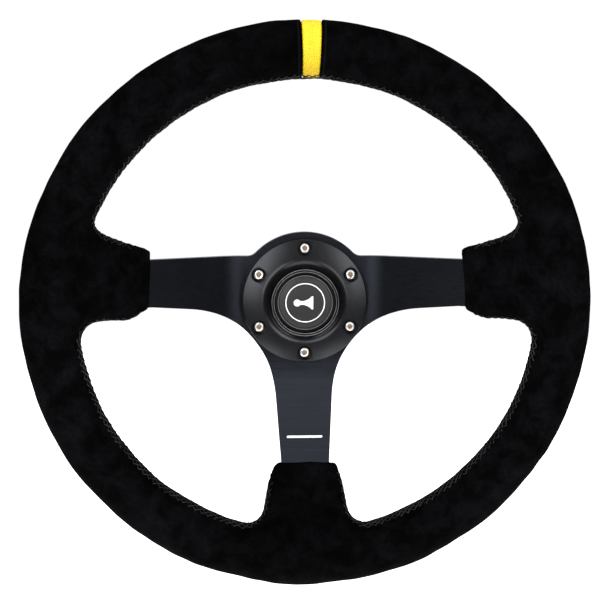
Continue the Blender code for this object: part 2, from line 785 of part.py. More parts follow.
def build_balls():
    steel = finish("ball_steel", (0.8, 0.8, 0.82), 0.12, 1.0)
    for index, (_, _, angle) in enumerate(around(BALL_COUNT, 0)):
        shape = bmesh.new()
        bmesh.ops.create_uvsphere(shape, u_segments=10, v_segments=8, radius=BALL_RADIUS)
        aim(add_mesh(f"lock_ball_{index + 1}", shape, steel), angle, BALL_CIRCLE, BALL_Y)


def build_collar():
    black = finish("collar_black", (0.03, 0.03, 0.033), 0.3, 0.8)
    spring = bpy.data.materials["spring_steel"]
    steel = bpy.data.materials["hardened_steel"]
    rubber = bpy.data.materials["rubber"]
    ramp_length = COLLAR_TRAVEL + 0.5
    ramp_rise = ramp_length * BALL_TRAVEL / COLLAR_TRAVEL
    ramp_end = BALL_Y + ramp_length
    flange_back = -COUPLER_LENGTH + FLANGE
    front = flange_back + COLLAR_TRAVEL + GAP
    back = CLIP_GROOVE[0]
    spring_seat = front + 5.7
    pocket = COLLAR_LAND + 2.3
    profile = [
        (COLLAR_LAND, spring_seat),
        (pocket, spring_seat),
        (pocket, front),
        (COLLAR_RADIUS - 0.6, front),
        (COLLAR_RADIUS, front + 0.6),
        (COLLAR_RADIUS, back - 11.1),
        (COLLAR_RADIUS + 1.6, back - 8.2),
        (COLLAR_LIP - 0.8, back - 6.8),
        (COLLAR_LIP, back - 6),
        (COLLAR_LIP, back - 0.8),
        (COLLAR_LIP - 0.8, back),
        (COLLAR_LAND, back),
        (COLLAR_LAND, back - 1.8),
        (COLLAR_LAND + ramp_rise, back - 1.8),
        (COLLAR_LAND + ramp_rise, ramp_end),
        (COLLAR_LAND, BALL_Y),
    ]
    collar = turned("release_collar", profile, black)
    flutes = [
        rod("flute", x, z, 3.2, back - 12.6, 0)
        for x, z, _ in around(20, COLLAR_LIP + 2.2, 4.5)
    ]
    combine(collar, "DIFFERENCE", flutes, 30)
    ends = flange_back + GAP, spring_seat - GAP
    helix("collar_spring", COLLAR_LAND + 1.3, 0.65, 3.5, *ends, spring, 14)

    clip_inner = BARREL_RADIUS - CLIP_DEPTH + GAP
    clip_points = [(clip_inner + 2.7, a) for a in np.linspace(-164, 164, 22)]
    clip_points += [(clip_inner, a) for a in np.linspace(164, -164, 22)]
    outline = [
        (radius * math.sin(math.radians(a)), radius * math.cos(math.radians(a)))
        for radius, a in clip_points
    ]
    prism("collar_circlip", outline, CLIP_GROOVE[0] + GAP, CLIP_GROOVE[1] - GAP, steel)
    ring = arc((BARREL_BORE + 0.4, SEAL_Y), SEAL_RADIUS, 0, 300, 6)
    turned("mouth_seal", ring, rubber)


def build_wheel():
    spoke_plate(finish("satin_black", (0.035, 0.04, 0.05), 0.4, 0.5))
    build_grip()
    build_horn_ring()
    build_bolts()
    build_horn_push()
    build_coupler()


clear_scene()
build_wheel()
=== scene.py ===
"""Looks for the three-spoke dished steering wheel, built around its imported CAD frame.

+Z is up and the driver looks along +Y. Shapes are worked out in millimetres.
"""

import math
import random

import bmesh
import bpy
import numpy as np
from mathutils import Matrix, Vector
from mathutils.kdtree import KDTree


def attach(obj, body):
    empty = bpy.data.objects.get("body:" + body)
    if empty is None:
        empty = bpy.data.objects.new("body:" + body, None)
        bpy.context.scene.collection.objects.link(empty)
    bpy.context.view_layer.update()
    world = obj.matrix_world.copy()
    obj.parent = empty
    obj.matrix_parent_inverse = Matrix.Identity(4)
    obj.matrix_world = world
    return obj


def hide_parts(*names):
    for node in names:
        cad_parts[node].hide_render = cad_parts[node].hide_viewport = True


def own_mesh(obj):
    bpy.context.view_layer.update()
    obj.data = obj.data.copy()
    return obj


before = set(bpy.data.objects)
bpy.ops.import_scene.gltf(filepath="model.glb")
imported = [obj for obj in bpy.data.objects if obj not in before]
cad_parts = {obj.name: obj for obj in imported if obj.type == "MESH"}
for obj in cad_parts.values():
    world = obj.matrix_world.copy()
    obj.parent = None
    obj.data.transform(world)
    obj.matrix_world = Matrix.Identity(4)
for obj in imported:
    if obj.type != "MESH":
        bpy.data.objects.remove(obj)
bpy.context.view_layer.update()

MM = 0.001
SEED = 20
ARMS = ("right", "left", "lower")

# Grip
GRIP_RADIUS = 158.0
GRIP_HALF_WIDTH = 17.0
GRIP_HALF_DEPTH = 15.5
GRIP_Y = -107.3
STRIPE_HALF_ANGLE = math.radians(1.93)
STRIPE_SEAM_ANGLE = math.radians(2.04)
STRIPE_LEAN = math.radians(0.3)  # the stripe sits this far to the right of the top
STITCH_PITCH = 4.4
STITCH_REACH = 4.2
STITCH_SPAN = 2.2  # pitches that one thread runs along the seam

# Plate and hub
PLATE_FRONT = -51.3
PLATE = 5.0
BOLT_CIRCLE = 35.0
BOLT_COUNT = 6


# ---- Mesh tools ----


def placed(name, data):
    made = bpy.data.objects.new(name, data)
    bpy.context.scene.collection.objects.link(made)
    return made


def add(name, data, look, node=None, body="wheel"):
    """Adds a piece to its body, with its look and slot, in place of a CAD node."""
    piece = placed(name, data)
    data.materials.clear()
    data.materials.append(LOOKS[look])
    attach(piece, body)
    if node:
        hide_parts(node)
    return piece


def smooth(data, smooth_below):
    data.shade_smooth()
    data.set_sharp_from_angle(angle=math.radians(smooth_below))
    return data


def plain_mesh(shape):
    data = bpy.data.meshes.new("shape")
    shape.to_mesh(data)
    shape.free()
    return data


def to_mesh(shape, smooth_below=35):
    """Turns a bmesh in millimetres into mesh data in metres."""
    bmesh.ops.recalc_face_normals(shape, faces=shape.faces)
    bmesh.ops.scale(shape, vec=(MM, MM, MM), verts=shape.verts)
    return smooth(plain_mesh(shape), smooth_below)


def spun(profile, segments):
    """Turns (radius, y) points about the Y axis; a profile off the axis is a closed loop."""
    shape = bmesh.new()
    points = [shape.verts.new((radius, y, 0)) for radius, y in profile]
    pairs = list(zip(points, points[1:]))
    if profile[0][0] > 0 or profile[-1][0] > 0:
        pairs.append((points[-1], points[0]))
    edges = [shape.edges.new(pair) for pair in pairs]
    bmesh.ops.spin(
        shape, geom=points + edges, cent=(0, 0, 0), axis=(0, 1, 0),
        angle=math.tau, steps=segments, use_merge=True,
    )
    bmesh.ops.remove_doubles(shape, verts=shape.verts, dist=0.0005)
    return shape


def turned(profile, segments=128, smooth_below=35):
    return to_mesh(spun(profile, segments), smooth_below)


def rod(radius, y_low, y_high, segments=40):
    return turned([(0, y_low), (radius, y_low), (radius, y_high), (0, y_high)], segments)


def evaluated(body):
    """The body's mesh with its modifiers applied; the body itself is removed."""
    bpy.context.view_layer.update()
    graph = bpy.context.evaluated_depsgraph_get()
    made = bpy.data.meshes.new_from_object(body.evaluated_get(graph))
    bpy.data.objects.remove(body)
    return made


def cut(data, tools, smooth_below=30):
    """Cuts mesh data with tool meshes and returns the new mesh data."""
    body = placed("body", data)
    cutters = [placed("cutter", tool) for tool in tools]
    for cutter in cutters:
        modifier = body.modifiers.new("cut", "BOOLEAN")
        modifier.operation = "DIFFERENCE"
        modifier.solver = "EXACT"
        modifier.object = cutter
    made = evaluated(body)
    for cutter in cutters:
        bpy.data.objects.remove(cutter)
    return smooth(made, smooth_below)


def shifted(data, x, z):
    data.transform(Matrix.Translation((x * MM, 0, z * MM)))
    return data


def around(count, radius, first=90.0):
    for index in range(count):
        angle = math.radians(first + 360 * index / count)
        yield radius * math.cos(angle), radius * math.sin(angle), angle

def at_bolts(*makers):
    """Fresh meshes from the makers, at each bolt in turn."""
    return [
        shifted(make(), x, z) for x, z, _ in around(BOLT_COUNT, BOLT_CIRCLE) for make in makers
    ]


def before_plate(distance):
    return PLATE_FRONT - distance


def from_plate(profile):
    return [(radius, before_plate(distance)) for radius, distance in profile]


def arc(centre, radius, start, end, count):
    return [
        (centre[0] + radius * math.cos(a), centre[1] + radius * math.sin(a))
        for a in np.radians(np.linspace(start, end, count))
    ]


def circle(count):
    return np.linspace(0, math.tau, count, endpoint=False)


def prism(outline, y_low, y_high):
    """A bmesh that extrudes an (x, z) outline along Y."""
    shape = bmesh.new()
    face = shape.faces.new([shape.verts.new((x, y_low, z)) for x, z in outline])
    grown = bmesh.ops.extrude_face_region(shape, geom=[face])["geom"]
    moved = [item for item in grown if isinstance(item, bmesh.types.BMVert)]
    bmesh.ops.translate(shape, vec=(0, y_high - y_low, 0), verts=moved)
    return shape


def join_rings(shape, rings):
    """Makes the faces between each ring of vertices and the next."""
    for ring, after in zip(rings, rings[1:]):
        for i in range(len(ring)):
            j = (i + 1) % len(ring)
            shape.faces.new((ring[i], ring[j], after[j], after[i]))


def bevelled(piece, width, segments=2, limit=40):
    modifier = piece.modifiers.new("edge", "BEVEL")
    modifier.width = width * MM
    modifier.segments = segments
    modifier.limit_method = "ANGLE"
    modifier.angle_limit = math.radians(limit)
    modifier.harden_normals = False


# ---- Materials ----


def fill(node, inputs):
    """Links each of a node's inputs to a socket, or sets it to a value."""
    for socket, value in inputs.items():
        if isinstance(value, bpy.types.NodeSocket):
            node.id_data.links.new(value, node.inputs[socket])
        else:
            node.inputs[socket].default_value = value


def add_node(tree, kind, inputs, output=0, **settings):
    made = tree.nodes.new(kind)
    for key, value in settings.items():
        setattr(made, key, value)
    fill(made, inputs)
    return made.outputs[output]


class Look:
    """A Principled material with helpers for the nodes that feed it."""

    def __init__(self, name, colour, roughness, metallic=0.0, specular=0.5):
        self.material = bpy.data.materials.new(name)
        self.material.use_nodes = True
        self.tree = self.material.node_tree
        self.shader = self.tree.nodes["Principled BSDF"]
        fill(self.shader, {
            "Base Color": (*colour, 1), "Roughness": roughness, "Metallic": metallic,
            "Specular IOR Level": specular,
        })
        self.place = self.node("ShaderNodeTexCoord", {}, "Object")

    def node(self, kind, inputs, output=0, **settings):
        return add_node(self.tree, kind, inputs, output, **settings)

    def finish(self, colour, roughness, normal):
        fill(self.shader, {"Base Color": colour, "Roughness": roughness, "Normal": normal})
        return self.material

    def axes(self):
        return self.node("ShaderNodeSeparateXYZ", {0: self.place}).node.outputs

    def noise(self, scale, detail, roughness, vector=None, distortion=0.0):
        return self.node("ShaderNodeTexNoise", {
            "Vector": vector or self.place, "Scale": scale, "Detail": detail,
            "Roughness": roughness, "Distortion": distortion,
        }, "Fac")

    def cells(self, scale, output="Distance", feature="F1"):
        inputs = {"Vector": self.place, "Scale": scale}
        return self.node("ShaderNodeTexVoronoi", inputs, output, feature=feature)

    def ramp(self, value, first, last, low=0.3, high=0.7):
        """Maps value from low..high to first..last, which are numbers or colours."""
        if isinstance(first, (int, float)):
            inputs = dict(enumerate((value, low, high, first, last)))
            return self.node("ShaderNodeMapRange", inputs, clamp=True)
        result = self.node("ShaderNodeValToRGB", {0: value})
        stops = result.node.color_ramp.elements
        stops[0].position, stops[1].position = low, high
        stops[0].color, stops[1].color = (*first, 1), (*last, 1)
        return result

    def mix(self, factor, first, second, blend="MIX"):
        if isinstance(second, tuple):
            second = (*second, 1)
        inputs = {0: factor, 6: first, 7: second}
        return self.node("ShaderNodeMix", inputs, 2, data_type="RGBA", blend_type=blend)

    def multiplied(self, first, second, share=1.0):
        return self.mix(share, first, second, "MULTIPLY")

    def maths(self, operation, first, second=0.0):
        return self.node("ShaderNodeMath", {0: first, 1: second}, operation=operation)

    def bump(self, height, distance, strength=0.5, under=None):
        inputs = {"Strength": strength, "Distance": distance, "Height": height}
        if under:
            inputs["Normal"] = under
        return self.node("ShaderNodeBump", inputs, "Normal")


def suede_look():
    look = Look("suede", (0.003, 0.003, 0.0035), 0.95, specular=0.02)
    patches = look.noise(75, 4, 0.6, distortion=0.4)
    nap = look.noise(420, 5, 0.7)
    colour = look.ramp(patches, (0.0006, 0.0006, 0.0007), (0.0026, 0.0027, 0.0032), 0.38, 0.68)
    shade = look.ramp(look.noise(16, 2, 0.5), (0.6,) * 3, (1.35,) * 3)
    fibre = look.ramp(nap, (0.72,) * 3, (1.35, 1.35, 1.38), 0.35, 0.7)
    colour = look.multiplied(look.multiplied(colour, shade), fibre)
    near = look.ramp(look.cells(155), 1.0, 0.0, 0.05, 0.11)
    rare = look.ramp(look.cells(155, "Color"), 0.0, 1.0, 0.93, 0.94)
    lint = look.maths("MULTIPLY", near, rare)
    colour = look.mix(lint, colour, (0.03, 0.031, 0.034))
    # painted highlight: a lighter line along the turned edge beside the stripe, near the top
    x, _, z = look.axes()
    lean = look.maths("MULTIPLY", z, STRIPE_LEAN)
    aside = look.maths("ABSOLUTE", look.maths("SUBTRACT", x, lean))
    drop = look.maths("MULTIPLY", z, math.sin(STRIPE_SEAM_ANGLE))
    beside = look.maths("SUBTRACT", aside, drop)
    off_edge = look.maths("ABSOLUTE", look.maths("SUBTRACT", beside, 1.9 * MM))
    line = look.ramp(off_edge, 1.0, 0.0, 0.0, 0.8 * MM)
    painted_edge_highlight = look.maths("MULTIPLY", line, look.ramp(z, 0.0, 0.4, 0.1, 0.11))
    fine = look.bump(look.noise(2600, 3, 0.7), 0.00012, 0.7)
    return look.finish(
        look.mix(painted_edge_highlight, colour, (0.009, 0.009, 0.0105)),
        look.ramp(nap, 0.88, 1.0),
        look.bump(nap, 0.0003, under=fine),
    )


def leather_look():
    look = Look("stripe_leather", (0.75, 0.5, 0.03), 0.5, specular=0.3)
    pores = look.cells(950, feature="DISTANCE_TO_EDGE")
    tone = look.noise(210, 4, 0.65)
    colour = look.ramp(tone, (0.8, 0.56, 0.006), (0.92, 0.69, 0.012), 0.3, 0.75)
    crease = look.ramp(pores, (0.6, 0.54, 0.4), (1, 1, 1), 0.0, 0.14)
    # painted light and shade: darker towards its inner edge, lighter and paler towards the top,
    # where the light falls
    painted_light_and_shade = look.ramp(look.axes()[2], (0.7, 0.66, 0.6), (1.06, 1.15, 2.0), 0.139, 0.168)
    grain = look.bump(look.ramp(pores, 0.0, 1.0, 0.0, 0.2), 0.00018, 0.8)
    return look.finish(
        look.multiplied(look.multiplied(colour, crease, 0.75), painted_light_and_shade),
        look.ramp(tone, 0.42, 0.6),
        look.bump(look.noise(320, 4, 0.6), 0.0004, under=grain),
    )


def thread_look(name, tone):
    look = Look(name, (tone, tone, tone * 1.05), 0.75, specular=0.25)
    twist = look.noise(3800, 2, 0.6)
    strand = look.ramp(twist, (tone * 0.55,) * 3, (tone * 1.35, tone * 1.35, tone * 1.42))
    soiled = look.ramp(look.noise(150, 3, 0.6), (0.2,) * 3, (1.1,) * 3, 0.36, 0.6)
    return look.finish(
        look.multiplied(strand, soiled), look.ramp(twist, 0.65, 0.85), look.bump(twist, 0.0001, 0.6)
    )


def satin_look():
    """Satin black paint with faint brush lines along X."""
    look = Look("satin_black", (0.015, 0.017, 0.022), 0.32, 0.96)
    brushed = look.node("ShaderNodeMapping", {"Vector": look.place, "Scale": (22, 400, 1500)})
    lines = look.noise(1.0, 4, 0.7, brushed)
    dapple = look.noise(28, 3, 0.5)
    colour = look.ramp(dapple, (0.0145, 0.0165, 0.0212), (0.0185, 0.0205, 0.026))
    peel = look.bump(look.noise(900, 2, 0.5), 0.00003)
    return look.finish(
        look.multiplied(colour, look.ramp(lines, (0.8,) * 3, (1.2,) * 3)),
        look.ramp(lines, 0.33, 0.42, 0.25, 0.75),
        look.bump(lines, 0.00003, under=peel),
    )


def scaled(tone, factor):
    return tuple(part * factor for part in tone)


def turned_look(name, tone, roughness, metallic=0.9):
    """Metal with faint lathe rings about the Y axis."""
    look = Look(name, tone, roughness, metallic)
    x, y, z = look.axes()
    squares = [look.maths("MULTIPLY", part, part) for part in (x, z)]
    radius = look.maths("SQRT", look.maths("ADD", *squares))
    rings = look.noise(5200, 3, 0.7, look.node("ShaderNodeCombineXYZ", {0: radius, 1: y}))
    streak = look.ramp(rings, -0.02, 0.02)
    wear = look.ramp(look.noise(45, 3, 0.5), roughness - 0.02, roughness + 0.03)
    return look.finish(
        look.ramp(rings, scaled(tone, 0.92), scaled(tone, 1.08)),
        look.maths("ADD", streak, wear),
        look.bump(rings, 0.000004),
    )


def plastic_look(name, tone, roughness, grain=0.00005):
    look = Look(name, tone, roughness)
    texture = look.noise(1500, 2, 0.5)
    return look.finish(
        look.ramp(look.noise(60, 3, 0.5), scaled(tone, 0.85), scaled(tone, 1.15)),
        look.ramp(texture, roughness - 0.05, roughness + 0.06),
        look.bump(texture, grain),
    )


def metal_look(name, tone, roughness):
    look = Look(name, tone, roughness, 1.0)
    smudge = look.noise(160, 4, 0.6)
    return look.finish(
        look.ramp(smudge, scaled(tone, 0.9), scaled(tone, 1.05)),
        look.ramp(smudge, roughness * 0.8, roughness * 1.25),
        look.bump(look.noise(1300, 3, 0.6), 0.00001),
    )


FINISHES = {
    # name: kind, tone, roughness, and the kind's further setting
    "thread": (thread_look, 0.02),
    # the under threads: a darker copy of the same thread, painted shade beneath the crossing
    # threads
    "thread_under": (thread_look, 0.014),
    "black_anodised": (turned_look, (0.024, 0.0245, 0.0265), 0.25),
    "coupler_black": (turned_look, (0.05, 0.05, 0.055), 0.38),
    "collar_black": (turned_look, (0.045, 0.045, 0.05), 0.3),
    "hardened_steel": (turned_look, (0.5, 0.5, 0.52), 0.3, 1.0),
    "black_plastic": (plastic_look, (0.007, 0.007, 0.0075), 0.33),
    "matt_plastic": (plastic_look, (0.0012, 0.0012, 0.0012), 0.9),
    # a lighter grey ring along the cap's edge: painted highlight
    "cap_edge": (plastic_look, (0.12, 0.12, 0.123), 0.3, 0.00001),
    "emblem_face": (plastic_look, (0.005, 0.005, 0.0054), 0.4),
    "emblem_print": (plastic_look, (0.8, 0.8, 0.8), 0.45, 0.00001),
    "rubber": (plastic_look, (0.018, 0.018, 0.018), 0.7, 0.0001),
    "nylon": (plastic_look, (0.72, 0.7, 0.64), 0.5),
    "bolt_steel": (metal_look, (0.74, 0.73, 0.72), 0.3),
    # darker, brownish steel at the bottom of each hex socket: painted shade in the recess
    "bolt_recess": (metal_look, (0.3, 0.2, 0.12), 0.5),
    # lighter metal for the rings along the horn ring's lip: painted highlights
    "rubbed_edge": (metal_look, (0.2, 0.2, 0.21), 0.4),
    "rim_steel": (metal_look, (0.12, 0.12, 0.13), 0.45),
    "ball_steel": (metal_look, (0.85, 0.85, 0.87), 0.08),
    "spring_steel": (metal_look, (0.55, 0.55, 0.57), 0.25),
    "brass": (metal_look, (0.78, 0.57, 0.25), 0.22),
}
LOOKS = {name: kind(name, *values) for name, (kind, *values) in FINISHES.items()}
LOOKS |= {"suede": suede_look(), "stripe_leather": leather_look(), "satin_black": satin_look()}


# ---- Grip ----

# Sleeve sections: distance along the arm, low and high edge across it, centre in front
# of the grip's middle plane (negative is behind it) and half thickness.
SIDE_SLEEVE = (
    (98.5, -0.2, 37, -29.8, 4.6), (104, -2.5, 38.8, -26.8, 5.3),
    (112, -6.9, 41.5, -22.4, 6.6), (122, -6, 45.6, -17.2, 8.4),
    (134, -5.8, 53.4, -9.5, 9.8), (148, -9, 61, -1.5, 9.5),
)
LOWER_SLEEVE = (
    (103, -19.2, 20, -27.3, 4.6), (108, -22.2, 21.8, -24.6, 5.4),
    (115, -25, 23.6, -20.8, 6.8), (124, -27, 25, -16, 8.6),
    (135, -29.8, 27, -9.2, 9.8), (148, -37, 32, -1.5, 9.5),
)
ARM_SLOPE = math.radians(29)
MOUTH_LEAN = 2.4  # the mouth is square to the sloping arm, so its middle lies further out
SLEEVE_BLEND = 13.0  # softness of the hollow between a sleeve and the rim
SLEEVE_END = 153.0
MOUTH_BLEND = 1.6
MOUTH_SHIFT = {"right": 1.8, "left": -0.2, "lower": -1.0}
SIDE_MOUTH_TILT = 0.085  # a side sleeve starts further out at its lower edge
TAPER = 0.15  # the grip is this much thinner at the top and thicker at the bottom
MIDDLE_BLEND = 12.0
SEAM_AHEAD = 2.6  # the seam lies this far in front of a sleeve's middle
SEAM_SPACING = 0.5
SEAM_REACH = 9.0  # the relief beside a seam ends within this
SLEEVE_START = 80
FAR = 99.0

SLEEVES = {"right": SIDE_SLEEVE, "left": SIDE_SLEEVE, "lower": LOWER_SLEEVE}


def eased(line, count):
    """A running mean over an odd count of values."""
    padded = np.pad(line, count // 2, mode="edge")
    return np.convolve(padded, np.ones(count) / count, mode="valid")


def smooth_table(table):
    """The sleeve's columns sampled every half millimetre and eased."""
    known, *columns = np.array(list(zip(*table)), float)
    outs = np.arange(80, 176, 0.5)
    made = []
    for values in columns:
        before = known[0] - outs
        slope = (values[1] - values[0]) / (known[1] - known[0])
        line = np.where(before > 0, values[0] - before * slope, np.interp(outs, known, values))
        made.append(eased(line, 15))
    return outs, made


TABLES = {arm: smooth_table(SLEEVES[arm]) for arm in ARMS}


def smooth_min(a, b, k):
    share = np.clip(0.5 + 0.5 * (b - a) / k, 0, 1)
    return b + (a - b) * share - k * share * (1 - share)


def smooth_max(a, b, k):
    return -smooth_min(-a, -b, k)


def arm_coordinates(points, arm):
    """Distance along the arm and across it."""
    if arm == "lower":
        return -points[:, 2], points[:, 0]
    return (points[:, 0] if arm == "right" else -points[:, 0]), points[:, 2]


def sleeve_middle(points, arm):
    out, _ = arm_coordinates(points, arm)
    outs, columns = TABLES[arm]
    return GRIP_Y - np.interp(out, outs, columns[2])


def mouth_distance(arm):
    return SLEEVES[arm][0][0] + MOUTH_LEAN + MOUTH_SHIFT[arm]


def sleeve_field(points, arm):
    """About the distance outside an arm's sleeve."""
    out, across = arm_coordinates(points, arm)
    outs, columns = TABLES[arm]
    low, high, ahead, half = (np.interp(out, outs, values) for values in columns)
    corner = half * np.interp(out, (102, 122), (0.5, 0.86))
    side = np.abs(across - (low + high) / 2) - ((high - low) / 2 - corner)
    face = np.abs(points[:, 1] - (GRIP_Y - ahead)) - (half - corner)
    face = face * math.cos(ARM_SLOPE)
    beyond = np.hypot(np.maximum(side, 0), np.maximum(face, 0))
    section = beyond + np.minimum(np.maximum(side, face), 0) - corner * 0.94
    tilt = 0 if arm == "lower" else SIDE_MOUTH_TILT * (18 - across)
    along = (out - mouth_distance(arm) - tilt) * math.cos(ARM_SLOPE)
    along -= (points[:, 1] - (GRIP_Y - ahead)) * math.sin(ARM_SLOPE)
    radius = np.hypot(points[:, 0], points[:, 2])
    ended = np.maximum(section, radius - SLEEVE_END)
    return smooth_max(ended, -along, MOUTH_BLEND)


def rim_field(points):
    across = np.hypot(points[:, 0], points[:, 2]) - GRIP_RADIUS
    depth = points[:, 1] - GRIP_Y
    scaled = np.hypot(across / GRIP_HALF_WIDTH, depth / GRIP_HALF_DEPTH)
    steep = np.hypot(across / GRIP_HALF_WIDTH**2, depth / GRIP_HALF_DEPTH**2)
    return scaled * (scaled - 1) / np.maximum(steep, 1e-6)



def waves(count, low, high, size, seed):
    """Random plane waves that add up to a gentle unevenness."""
    source = random.Random(seed)
    made = []
    for _ in range(count):
        direction = Vector([source.gauss(0, 1) for _ in range(3)]).normalized()
        length = source.uniform(low, high)
        made.append((np.array(direction) * math.tau / length, source.uniform(0, math.tau)))
    return made, size / math.sqrt(count)


UNEVEN = waves(14, 26, 70, 0.32, SEED)
FINE_UNEVEN = waves(16, 9, 18, 0.1, SEED + 1)


def unevenness(points):
    total = np.zeros(len(points))
    for made, size in (UNEVEN, FINE_UNEVEN):
        for wave, phase in made:
            total += size * np.sin(points @ wave + phase)
    return total


def grip_field(points):
    """About the distance outside the suede, in millimetres."""
    field = rim_field(points)
    for arm in ARMS:
        field = smooth_min(field, sleeve_field(points, arm), SLEEVE_BLEND)
    return field + 0.12 + TAPER * points[:, 2] / GRIP_RADIUS - unevenness(points)


def gradient(points, step=0.05):
    parts = []
    for axis in range(3):
        shift = np.zeros(3)
        shift[axis] = step
        parts.append((grip_field(points + shift) - grip_field(points - shift)) / (2 * step))
    return np.stack(parts, 1)


def onto_grip(points, rounds=4):
    for _ in range(rounds):
        slope = gradient(points)
        steep = np.maximum((slope**2).sum(1), 0.05)
        points = points - (grip_field(points) / steep)[:, None] * slope
    return points


def unit(vectors):
    return vectors / np.linalg.norm(vectors, axis=1)[:, None]


def normals_of(points):
    return unit(gradient(points))


# Corners of the rough sleeve's section: shares of its half width and half thickness
OCTAGON = (
    (-1, -0.5), (-0.9, -0.95), (0.9, -0.95), (1, -0.5),
    (1, 0.5), (0.9, 0.95), (-0.9, 0.95), (-1, 0.5),
)


def rough_grip():
    """A plain union of the rim and its sleeves, as the start of the suede's mesh."""
    inset = 0.4
    section = [
        (GRIP_RADIUS + (GRIP_HALF_WIDTH - inset) * math.cos(a),
         GRIP_Y + (GRIP_HALF_DEPTH - inset) * math.sin(a))
        for a in circle(40)
    ]
    shape = spun(section, 180)
    for arm in ARMS:
        rings = []
        for out, low, high, ahead, half in SLEEVES[arm]:
            ring = []
            for side, face in OCTAGON:
                across = (low + high) / 2 + side * ((high - low) / 2 - 0.5)
                y = GRIP_Y - ahead + face * half
                sideways = (out if arm == "right" else -out, y, across)
                ring.append(shape.verts.new((across, y, -out) if arm == "lower" else sideways))
            rings.append(ring)
        join_rings(shape, rings)
        shape.faces.new(rings[0])
        shape.faces.new(rings[-1])
    return to_mesh(shape)


def remeshed(data, voxel):
    body = placed("rough", data)
    modifier = body.modifiers.new("remesh", "REMESH")
    modifier.mode = "VOXEL"
    modifier.voxel_size = voxel * MM
    return evaluated(body)


WINDOWS = (
    # middle of the window, first and last direction in degrees
    ((0.0, 78.0), -25.0, 205.0),
    ((78.0, -72.0), -152.0, 74.0),
    ((-78.0, -72.0), 106.0, 332.0),
)


def middle_surface(points):
    """Y of the seam: the grip's middle plane, easing onto the middle of a sleeve."""
    level = np.full(len(points), GRIP_Y - 2.0)
    for arm in ARMS:
        middle = sleeve_middle(points, arm)
        inside = sleeve_field(np.stack([points[:, 0], middle, points[:, 2]], 1), arm)
        out, _ = arm_coordinates(points, arm)
        share = (1 - np.clip(inside / MIDDLE_BLEND, 0, 1)) * (out > SLEEVE_START)
        share = share * share * (3 - 2 * share)
        level = level + (middle - SEAM_AHEAD - level) * share
    return level


def lengths(points):
    """Distance along a line of points, up to each of them."""
    steps = np.linalg.norm(np.diff(points, axis=0), axis=1)
    return np.concatenate([[0], np.cumsum(steps)])


def sampled(wanted, known, rows):
    return np.stack([np.interp(wanted, known, rows[:, i]) for i in range(3)], 1)


def seam_path(window):
    """Points where the panels meet, from one sleeve's mouth to the next, evenly spaced."""
    middle, start, end = window
    angles = np.radians(np.linspace(start, end, 1500))
    aim = np.stack([np.cos(angles), np.sin(angles)], 1)

    def on_ray(reach):
        flat = np.array(middle) + aim * reach[:, None]
        points = np.stack([flat[:, 0], np.zeros(len(flat)), flat[:, 1]], 1)
        points[:, 1] = middle_surface(points)
        return points

    stride = 1.5
    found = np.full(len(angles), np.nan)
    for distance in np.arange(4, 130, stride):
        inside = grip_field(on_ray(np.full(len(angles), distance))) < 0
        found = np.where(inside & np.isnan(found), distance, found)
    high = np.nan_to_num(found)
    low = high - stride
    for _ in range(6):
        half_way = (low + high) / 2
        inside = grip_field(on_ray(half_way)) < 0
        low, high = np.where(inside, low, half_way), np.where(inside, half_way, high)
    points = onto_grip(on_ray(high)[~np.isnan(found)])
    # the part that runs over a mouth's end face is left off
    good = np.ones(len(points), bool)
    for arm in ARMS:
        out, across = arm_coordinates(points, arm)
        at_mouth = (out > SLEEVE_START) & (out < mouth_distance(arm) + 3.0)
        good &= ~(at_mouth & (np.abs(across) < 60))
    points = points[good]
    length = lengths(points)
    even = np.linspace(0, length[-1], int(length[-1] / SEAM_SPACING))
    line = sampled(even, length, points)
    return onto_grip(np.stack([eased(line[:, i], 9) for i in range(3)], 1))


class Seam:
    """A seam line with its frame: its tangent and the direction across it."""

    def __init__(self, window):
        self.points = seam_path(window)
        self.length = lengths(self.points)
        self.tangent = unit(np.gradient(self.points, axis=0))
        self.across = unit(np.cross(normals_of(self.points), self.tangent))

    def at(self, distance, across):
        """Points this far along the seam and across it, on the suede."""
        base = sampled(distance, self.length, self.points)
        side = sampled(distance, self.length, self.across)
        return onto_grip(base + side * across[:, None], 5)


SEAMS = [Seam(window) for window in WINDOWS]


def seam_relief(along, across):
    """Height of the suede near the seam: a sunk joint, two rolls and a dent at each hole."""
    wide = np.abs(across)
    turn = np.cos(math.tau * along / STITCH_PITCH)
    turn = turn * (0.5 + 0.5 * np.sin(along / 7.3) * np.sin(along / 11.9 + 1))
    joint = -0.75 * np.exp(-((across / 0.9) ** 2))
    rolls = 0.35 * np.exp(-(((wide - 2.4) / 1.5) ** 2)) * (1 - 0.55 * turn)
    holes = -0.55 * np.exp(-(((wide - STITCH_REACH) / 0.9) ** 2)) * (0.5 + 0.5 * turn)
    pull = -0.28 * np.exp(-((across / 4.5) ** 2)) * turn
    return joint + rolls + holes + pull


def near_seam(points):
    """Distance along and across the nearest seam, and a share that fades out at its ends."""
    tree = KDTree(sum(len(seam.points) for seam in SEAMS))
    owners = []
    for number, seam in enumerate(SEAMS):
        for index, point in enumerate(seam.points):
            tree.insert(point, len(owners))
            owners.append((number, index))
    tree.balance()
    along, across, fade = np.zeros(len(points)), np.full(len(points), FAR), np.zeros(len(points))
    for row, point in enumerate(points):
        _, found, distance = tree.find(point)
        if distance > SEAM_REACH:
            continue
        number, index = owners[found]
        seam = SEAMS[number]
        offset = point - seam.points[index]
        ahead = offset @ seam.tangent[index]
        along[row] = seam.length[index] + ahead
        flat = offset - seam.tangent[index] * ahead
        across[row] = math.copysign(np.linalg.norm(flat), offset @ seam.across[index])
        ends = min(index, len(seam.points) - 1 - index) * SEAM_SPACING
        fade[row] = min(1.0, ends / 3.0)
    return along, across, fade


